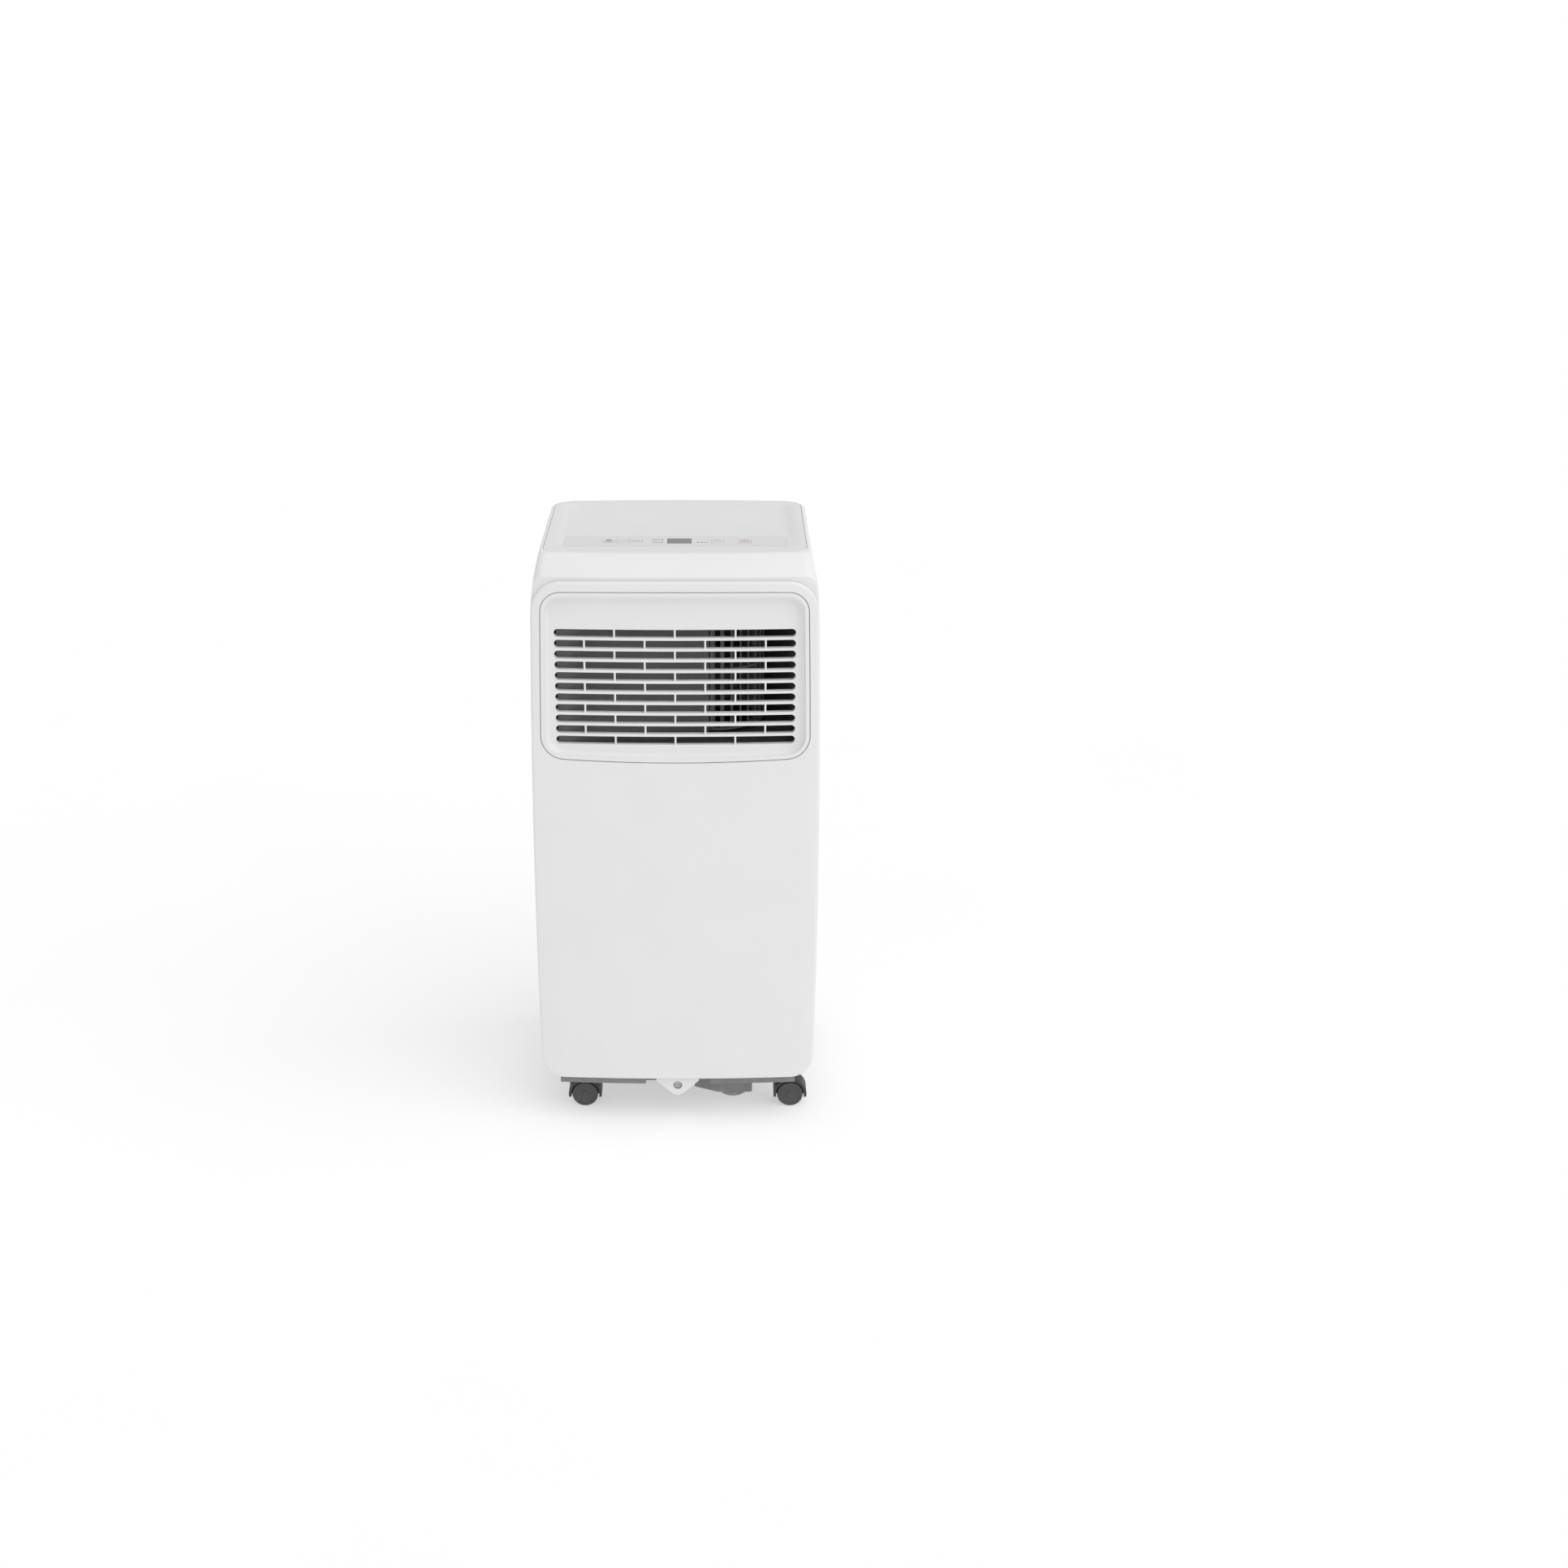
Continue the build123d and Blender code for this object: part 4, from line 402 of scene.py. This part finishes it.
def addTurned(bm, points, steps, level):
    # a turned solid, raised to its level and joined to bm
    part = bmesh.new()
    spinProfile(part, points, steps)
    bmesh.ops.translate(part, vec=(0, 0, level), verts=part.verts)
    mesh = bpy.data.meshes.new("turnedDraft")
    part.to_mesh(mesh)
    part.free()
    bm.from_mesh(mesh)
    bpy.data.meshes.remove(mesh)


def outletBlower(spec):
    low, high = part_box("upper_blower_wheel")
    middleX, middleY, middleZ = centreOf("upper_blower_wheel")
    radius = (high[0] - low[0]) / 2
    outer = radius - spec["bladeInset"]
    bm = bmesh.new()
    ends = [bm.verts.new((outer, 0.0, z)) for z in (low[2] + spec["endGap"], high[2] - spec["endGap"])]
    edge = bm.edges.new(ends)
    bmesh.ops.spin(bm, geom=ends + [edge], axis=(0, 0, 1),
                   cent=(outer - spec["bladeBend"], -spec["bladeLean"], 0),
                   angle=math.radians(spec["bladeArc"]), steps=spec["bladeSteps"], use_merge=False)
    bmesh.ops.solidify(bm, geom=list(bm.faces), thickness=spec["bladeThick"])
    bmesh.ops.recalc_face_normals(bm, faces=bm.faces)
    blade = list(bm.verts) + list(bm.edges) + list(bm.faces)
    for number in range(1, spec["blades"]):
        made = bmesh.ops.duplicate(bm, geom=blade)
        copied = [item for item in made["geom"] if isinstance(item, bmesh.types.BMVert)]
        turn = Matrix.Rotation(math.tau * number / spec["blades"], 3, "Z")
        bmesh.ops.rotate(bm, cent=(0, 0, 0), matrix=turn, verts=copied)
    thick = spec["ringThick"] / 2
    endRing = radius - spec["ringDepth"]
    hole = spec["shaftHole"]
    for level, inner in ((low[2] + thick, endRing), (middleZ, hole), (high[2] - thick, endRing)):
        ring = [(inner, -thick), (radius, -thick), (radius, thick), (inner, thick), (inner, -thick)]
        addTurned(bm, ring, 72, level)
    hub, hubHalf = spec["hubRadius"], spec["hubHeight"] / 2
    flange, flangeHalf = spec["flangeRadius"], spec["flangeHeight"] / 2
    hubProfile = [(hole, -hubHalf), (hub, -hubHalf), (flange, -flangeHalf), (flange, flangeHalf),
                  (hub, hubHalf), (hole, hubHalf), (hole, -hubHalf)]
    addTurned(bm, hubProfile, 40, middleZ)
    bmesh.ops.translate(bm, vec=(middleX, middleY, 0), verts=bm.verts)
    finishPiece(bm, "outletBlower", "upper_blower", bladeGrey, ("upper_blower_wheel",))


outletBlower(blowerSpec)
print("blower made")


# casters: twin wheels with a grooved tread, a dished face and a hub cap

wheelSpec = {
    "rim": 0.0032, "rimSlope": 0.0005, "rimLip": 0.0001, "dish": 0.0007,
    "hub": 0.0042, "hubRound": (0.0006, 0.0005),
    "treadRound": ((0.0013, 0.0), (0.0004, 0.0005), (0.0, 0.0014)),  # in from the tread, down from the face
    "groove": 0.0005, "grooveTop": 0.0008, "grooveFloor": 0.0004,
    "backBevel": 0.0012, "bore": 0.00255, "capThick": 0.0016,
}


def wheelProfile(spec, radius, half):
    rim, hub, dish = radius - spec["rim"], spec["hub"], half - spec["dish"]
    hubIn, hubDown = spec["hubRound"]
    floor, top, bottom = radius - spec["groove"], spec["grooveTop"], spec["grooveFloor"]
    back, bore, cap = spec["backBevel"], spec["bore"], half - spec["capThick"]
    return [
        (0.0, half), (hub - hubIn, half), (hub, half - hubDown), (hub, dish),
        (rim - spec["rimSlope"], dish), (rim, half - spec["rimLip"]),
        *[(radius - inward, half - down) for inward, down in spec["treadRound"]],
        (radius, top), (floor, bottom), (floor, -bottom), (radius, -top),
        (radius, -half + back), (radius - back, -half), (bore, -half), (bore, cap), (0.0, cap),
    ]


def casterWheel(corner, side):
    node = f"caster_wheel_{corner}_{side}"
    low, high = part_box(node)
    radius = (high[2] - low[2]) / 2
    half = (high[1] - low[1]) / 2
    turn = Matrix.Rotation(math.radians(90.0) * (1.0 if side == "a" else -1.0), 3, "X")
    bm = bmesh.new()
    spinProfile(bm, wheelProfile(wheelSpec, radius, half), 64)
    bmesh.ops.rotate(bm, cent=(0, 0, 0), matrix=turn, verts=bm.verts)
    bmesh.ops.translate(bm, vec=centreOf(node), verts=bm.verts)
    finishPiece(bm, f"casterWheel_{corner}_{side}", f"wheel_{corner}_{side}", wheelBlack, (node,))


for corner in ("front_left", "front_right", "rear_left", "rear_right"):
    smoothedNode(f"caster_hood_{corner}", f"casterHood_{corner}", casterBlack)
    for side in ("a", "b"):
        casterWheel(corner, side)
print("casters made")


# filter nets and coil fins behind the back grilles

netSpec = {"pitch": 0.0032, "thread": 0.00022}
finSpec = {"pitch": 0.0021, "thick": 0.00016, "plateThick": 0.0012, "plateReach": 0.001}


def spread(low, high, margin, pitch):
    # even places from low to high, about one pitch apart, a margin in from both ends
    count = int((high - low) / pitch)
    return [low + margin + (high - low - 2 * margin) * number / count for number in range(count + 1)]


def filterNet(level, spec):
    low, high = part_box(f"{level}_filter_mesh")
    middleY = (low[1] + high[1]) / 2
    thread = spec["thread"]
    bm = bmesh.new()
    for x in spread(low[0], high[0], thread, spec["pitch"]):
        addBox(bm, (x - thread, middleY, low[2]), (x + thread, middleY + 2 * thread, high[2]))
    for z in spread(low[2], high[2], thread, spec["pitch"]):
        addBox(bm, (low[0], middleY - thread, z - thread), (high[0], middleY + thread, z + thread))
    finishPiece(bm, f"{level}FilterNet", f"{level}_filter", netGrey, (f"{level}_filter_mesh",))


def coilFins(coil, spec):
    low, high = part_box(f"{coil}_fins")
    thick, plate, reach = spec["thick"], spec["plateThick"], spec["plateReach"]
    bm = bmesh.new()
    for x in spread(low[0], high[0], thick, spec["pitch"]):
        addBox(bm, (x - thick, low[1], low[2]), (x + thick, high[1], high[2]))
    for x in (low[0], high[0] - plate):
        addBox(bm, (x, low[1] - reach, low[2]), (x + plate, high[1] + reach, high[2]))
    finishPiece(bm, f"{coil}Fins", "casing", finAluminium, (f"{coil}_fins",))


for level in ("upper", "lower"):
    filterNet(level, netSpec)
for coil in ("evaporator", "condenser"):
    coilFins(coil, finSpec)
print("nets and fins made")


# printed marks on the control strip and the keys, with short dashes in place of small print

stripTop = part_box("control_overlay")[1][2]
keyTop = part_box("key_up")[1][2]
ink = {"thick": 0.00006, "sink": 0.00002, "dashGap": 0.0008, "arcSteps": 20, "dotSides": 20}


def inkBar(bm, x, y, width, length, top, turn=0.0):
    verts = addBox(bm, (x - width / 2, y - length / 2, top - ink["sink"]),
                   (x + width / 2, y + length / 2, top + ink["thick"]))
    bmesh.ops.rotate(bm, cent=(x, y, top), matrix=Matrix.Rotation(math.radians(turn), 3, "Z"), verts=verts)


def inkArc(bm, x, y, radius, start, sweep, top, line):
    # a printed line bent round a centre
    half = line / 2
    below, above = top - ink["sink"], top + ink["thick"]
    corners = [(radius - half, below), (radius + half, below), (radius + half, above), (radius - half, above)]
    verts = [bm.verts.new((x + r, y, z)) for r, z in corners]
    face = bm.faces.new(verts)
    bmesh.ops.rotate(bm, cent=(x, y, 0), matrix=Matrix.Rotation(math.radians(start), 3, "Z"), verts=verts)
    bmesh.ops.spin(bm, geom=[face], axis=(0, 0, 1), cent=(x, y, 0),
                   angle=math.radians(sweep), steps=ink["arcSteps"], use_merge=False)


def inkDot(bm, x, y, radius, top):
    made = bmesh.ops.create_cone(bm, cap_ends=True, segments=ink["dotSides"],
                                 radius1=radius, radius2=radius, depth=ink["thick"])
    bmesh.ops.translate(bm, vec=(x, y, top + ink["thick"] / 2), verts=made["verts"])


def inkRow(bm, x, y, widths, length, top):
    for width in widths:
        inkBar(bm, x + width / 2, y, width, length, top)
        x += width + ink["dashGap"]


def finishInk(bm, name, body, material):
    bmesh.ops.recalc_face_normals(bm, faces=bm.faces)
    finishPiece(bm, name, body, material)


snowMark = {
    "up": 0.002, "arm": (0.0092, 0.0010), "tick": (0.0009, 0.0030), "tickAt": 0.0034,
    "dashes": (0.0020, 0.0016, 0.0022, 0.0018), "dashFrom": (-0.0052, -0.0066), "dashTall": 0.0012,
}
fanMark = {
    "up": 0.001, "bladeAt": 0.0024, "bladeRadius": 0.0026, "sweep": 165.0, "line": 0.0008, "dot": 0.0008,
}
arrowMark = {"radius": 0.0098, "sweep": 56.0, "line": 0.0016}
arrowKeys = {  # centre of the arc above the key's middle, start angle
    "down": (0.0090, 242.0),
    "up": (-0.0080, 62.0),
}
powerMark = {
    "up": 0.0030, "radius": 0.0040, "start": 120.0, "sweep": 300.0, "line": 0.0011,
    "bar": (0.0011, 0.0052), "barUp": 0.0064,
    "dashes": (0.0022, 0.0018, 0.0020, 0.0024, 0.0010), "dashFrom": (-0.0060, -0.0058), "dashTall": 0.0018,
}


def snowSign(spec, x, y):
    bm = bmesh.new()
    for turn in (0.0, 60.0, 120.0):
        inkBar(bm, x, y + spec["up"], *spec["arm"], keyTop, turn)
    for turn in range(0, 360, 60):
        angle = math.radians(turn)
        tickX, tickY = spec["tickAt"] * math.cos(angle), spec["tickAt"] * math.sin(angle)
        inkBar(bm, x + tickX, y + spec["up"] + tickY, *spec["tick"], keyTop, turn)
    inkRow(bm, x + spec["dashFrom"][0], y + spec["dashFrom"][1], spec["dashes"], spec["dashTall"], keyTop)
    finishInk(bm, "modeMark", "mode_key", inkGrey)


def fanSign(spec, x, y):
    bm = bmesh.new()
    for turn in (0.0, 120.0, 240.0):
        angle = math.radians(turn + 30.0)
        bladeX, bladeY = spec["bladeAt"] * math.cos(angle), spec["bladeAt"] * math.sin(angle)
        inkArc(bm, x + bladeX, y + spec["up"] + bladeY, spec["bladeRadius"], turn - 40.0, spec["sweep"],
               keyTop, spec["line"])
    inkDot(bm, x, y + spec["up"], spec["dot"], keyTop)
    finishInk(bm, "fanMark", "fan_key", inkPale)


def arrowSign(key, spec, x, y):
    up, start = arrowKeys[key]
    bm = bmesh.new()
    inkArc(bm, x, y + up, spec["radius"], start, spec["sweep"], keyTop, spec["line"])
    finishInk(bm, f"{key}Mark", f"{key}_key", inkGrey)


def powerSign(spec, x, y):
    bm = bmesh.new()
    inkArc(bm, x, y + spec["up"], spec["radius"], spec["start"], spec["sweep"], keyTop, spec["line"])
    inkBar(bm, x, y + spec["barUp"], *spec["bar"], keyTop)
    inkRow(bm, x + spec["dashFrom"][0], y + spec["dashFrom"][1], spec["dashes"], spec["dashTall"], keyTop)
    finishInk(bm, "powerMark", "power_key", inkRed)


stripSpec = {  # places are from the middle of the display window
    "rows": ((0.0026, 0.0020, 0.0030), (0.0034, 0.0018), (0.0022, 0.0028, 0.0018)), "rowStep": 0.0078,
    "rowFrom": -0.0312, "rowDotAt": -0.0202, "dot": 0.0013, "dashTall": 0.0016,
    "sideDotAt": (0.0216, -0.0072), "sideFrom": 0.0246, "sideDashes": (0.0024, 0.0030, 0.0020),
}
smallSpec = {  # places are from the power key and from the window
    "dashes": (0.0030, 0.0024, 0.0036, 0.0028, 0.0020), "from": (-0.0095, -0.0125), "dashTall": 0.0010,
}


def stripSigns(spec, small):
    windowX, windowY = centreOf("display_window")[:2]
    tall, dot = spec["dashTall"], spec["dot"]
    bm = bmesh.new()
    for row, widths in zip((-1, 0, 1), spec["rows"]):
        y = windowY + spec["rowStep"] * row
        inkRow(bm, windowX + spec["rowFrom"], y, widths, tall, stripTop)
        inkDot(bm, windowX + spec["rowDotAt"], y, dot, stripTop)
    dotX, dotY = spec["sideDotAt"]
    inkDot(bm, windowX + dotX, windowY + dotY, dot, stripTop)
    inkRow(bm, windowX + spec["sideFrom"], windowY + dotY, spec["sideDashes"], tall, stripTop)
    finishInk(bm, "stripMarks", "casing", inkGrey)
    bm = bmesh.new()
    smallX, smallY = centreOf("key_power")[0] + small["from"][0], windowY + small["from"][1]
    inkRow(bm, smallX, smallY, small["dashes"], small["dashTall"], stripTop)
    finishInk(bm, "stripSmallMarks", "casing", inkPale)


keyRow = centreOf("key_up")[1]
snowSign(snowMark, centreOf("key_mode")[0], keyRow)
fanSign(fanMark, centreOf("key_fan")[0], keyRow)
for key in arrowKeys:
    arrowSign(key, arrowMark, centreOf(f"key_{key}")[0], keyRow)
powerSign(powerMark, centreOf("key_power")[0], keyRow)
stripSigns(stripSpec, smallSpec)
print("printed marks made")


# floor, lights and camera

studioSpec = {
    "floorSize": 150.0, "floorTone": (0.52, 0.54), "floorRough": 0.9, "floorGlow": 0.47,
    "skyLight": 0.68,  # what lights the object; the camera itself sees a white sky
}


def studio():
    bm = bmesh.new()
    bmesh.ops.create_grid(bm, x_segments=1, y_segments=1, size=studioSpec["floorSize"])
    mesh = bpy.data.meshes.new("floor")
    bm.to_mesh(mesh)
    bm.free()
    floor = bpy.data.objects.new("floor", mesh)
    bpy.context.scene.collection.objects.link(floor)
    material, tree, bsdf = startMaterial("paleFloor")
    coords = tree.nodes.new("ShaderNodeTexCoord").outputs["Object"]
    cloud = noiseNode(tree, 3.0, 4.0, coords)
    floorTones = [(tone, tone, tone) for tone in studioSpec["floorTone"]]
    tree.links.new(mixColours(tree, cloud.outputs["Fac"], *floorTones), bsdf.inputs["Base Color"])
    bsdf.inputs["Emission Color"].default_value = (1.0, 1.0, 1.0, 1.0)
    bsdf.inputs["Emission Strength"].default_value = studioSpec["floorGlow"]
    bsdf.inputs["Roughness"].default_value = studioSpec["floorRough"]
    bsdf.inputs["Specular IOR Level"].default_value = 0.1
    mesh.materials.append(material)
    world = bpy.data.worlds.new("studioWorld")
    world.use_nodes = True
    backdrop = world.node_tree.nodes["Background"]
    backdrop.inputs["Color"].default_value = (1.0, 1.0, 1.0, 1.0)
    rays = world.node_tree.nodes.new("ShaderNodeLightPath")
    seen = rays.outputs["Is Camera Ray"]
    brightness = rangeNode(world.node_tree, seen, 0.0, 1.0, studioSpec["skyLight"], 1.0)
    world.node_tree.links.new(brightness, backdrop.inputs["Strength"])
    bpy.context.scene.world = world


lamps = {  # direction the light comes from, strength, softness in degrees
    "keyLight": ((0.50, -0.34, 0.80), 1.25, 60.0),
}


def addLamp(name, source, strength, softness):
    data = bpy.data.lights.new(name, "SUN")
    data.energy = strength
    data.angle = math.radians(softness)
    lamp = bpy.data.objects.new(name, data)
    lamp.location = [2.0 * part for part in source]
    lamp.rotation_euler = (-Vector(source)).to_track_quat("-Z", "Y").to_euler()
    bpy.context.scene.collection.objects.link(lamp)


cameraSpec = {
    "lens": 52.17, "sensor": 36.0, "shift": 0.0424, "nearClip": 0.05,
    "place": (0.0487, -2.6376, 1.3425), "tilt": 70.0,
}


def addCamera(spec):
    data = bpy.data.cameras.new("mainCamera")
    data.lens = spec["lens"]
    data.sensor_width = spec["sensor"]
    data.shift_x = spec["shift"]
    data.clip_start = spec["nearClip"]
    camera = bpy.data.objects.new("mainCamera", data)
    camera.location = spec["place"]
    camera.rotation_euler = (math.radians(spec["tilt"]), 0.0, 0.0)
    bpy.context.scene.collection.objects.link(camera)
    bpy.context.scene.camera = camera


studio()
for name, values in lamps.items():
    addLamp(name, *values)
addCamera(cameraSpec)
bpy.context.scene.view_settings.view_transform = "Standard"
print("studio ready")
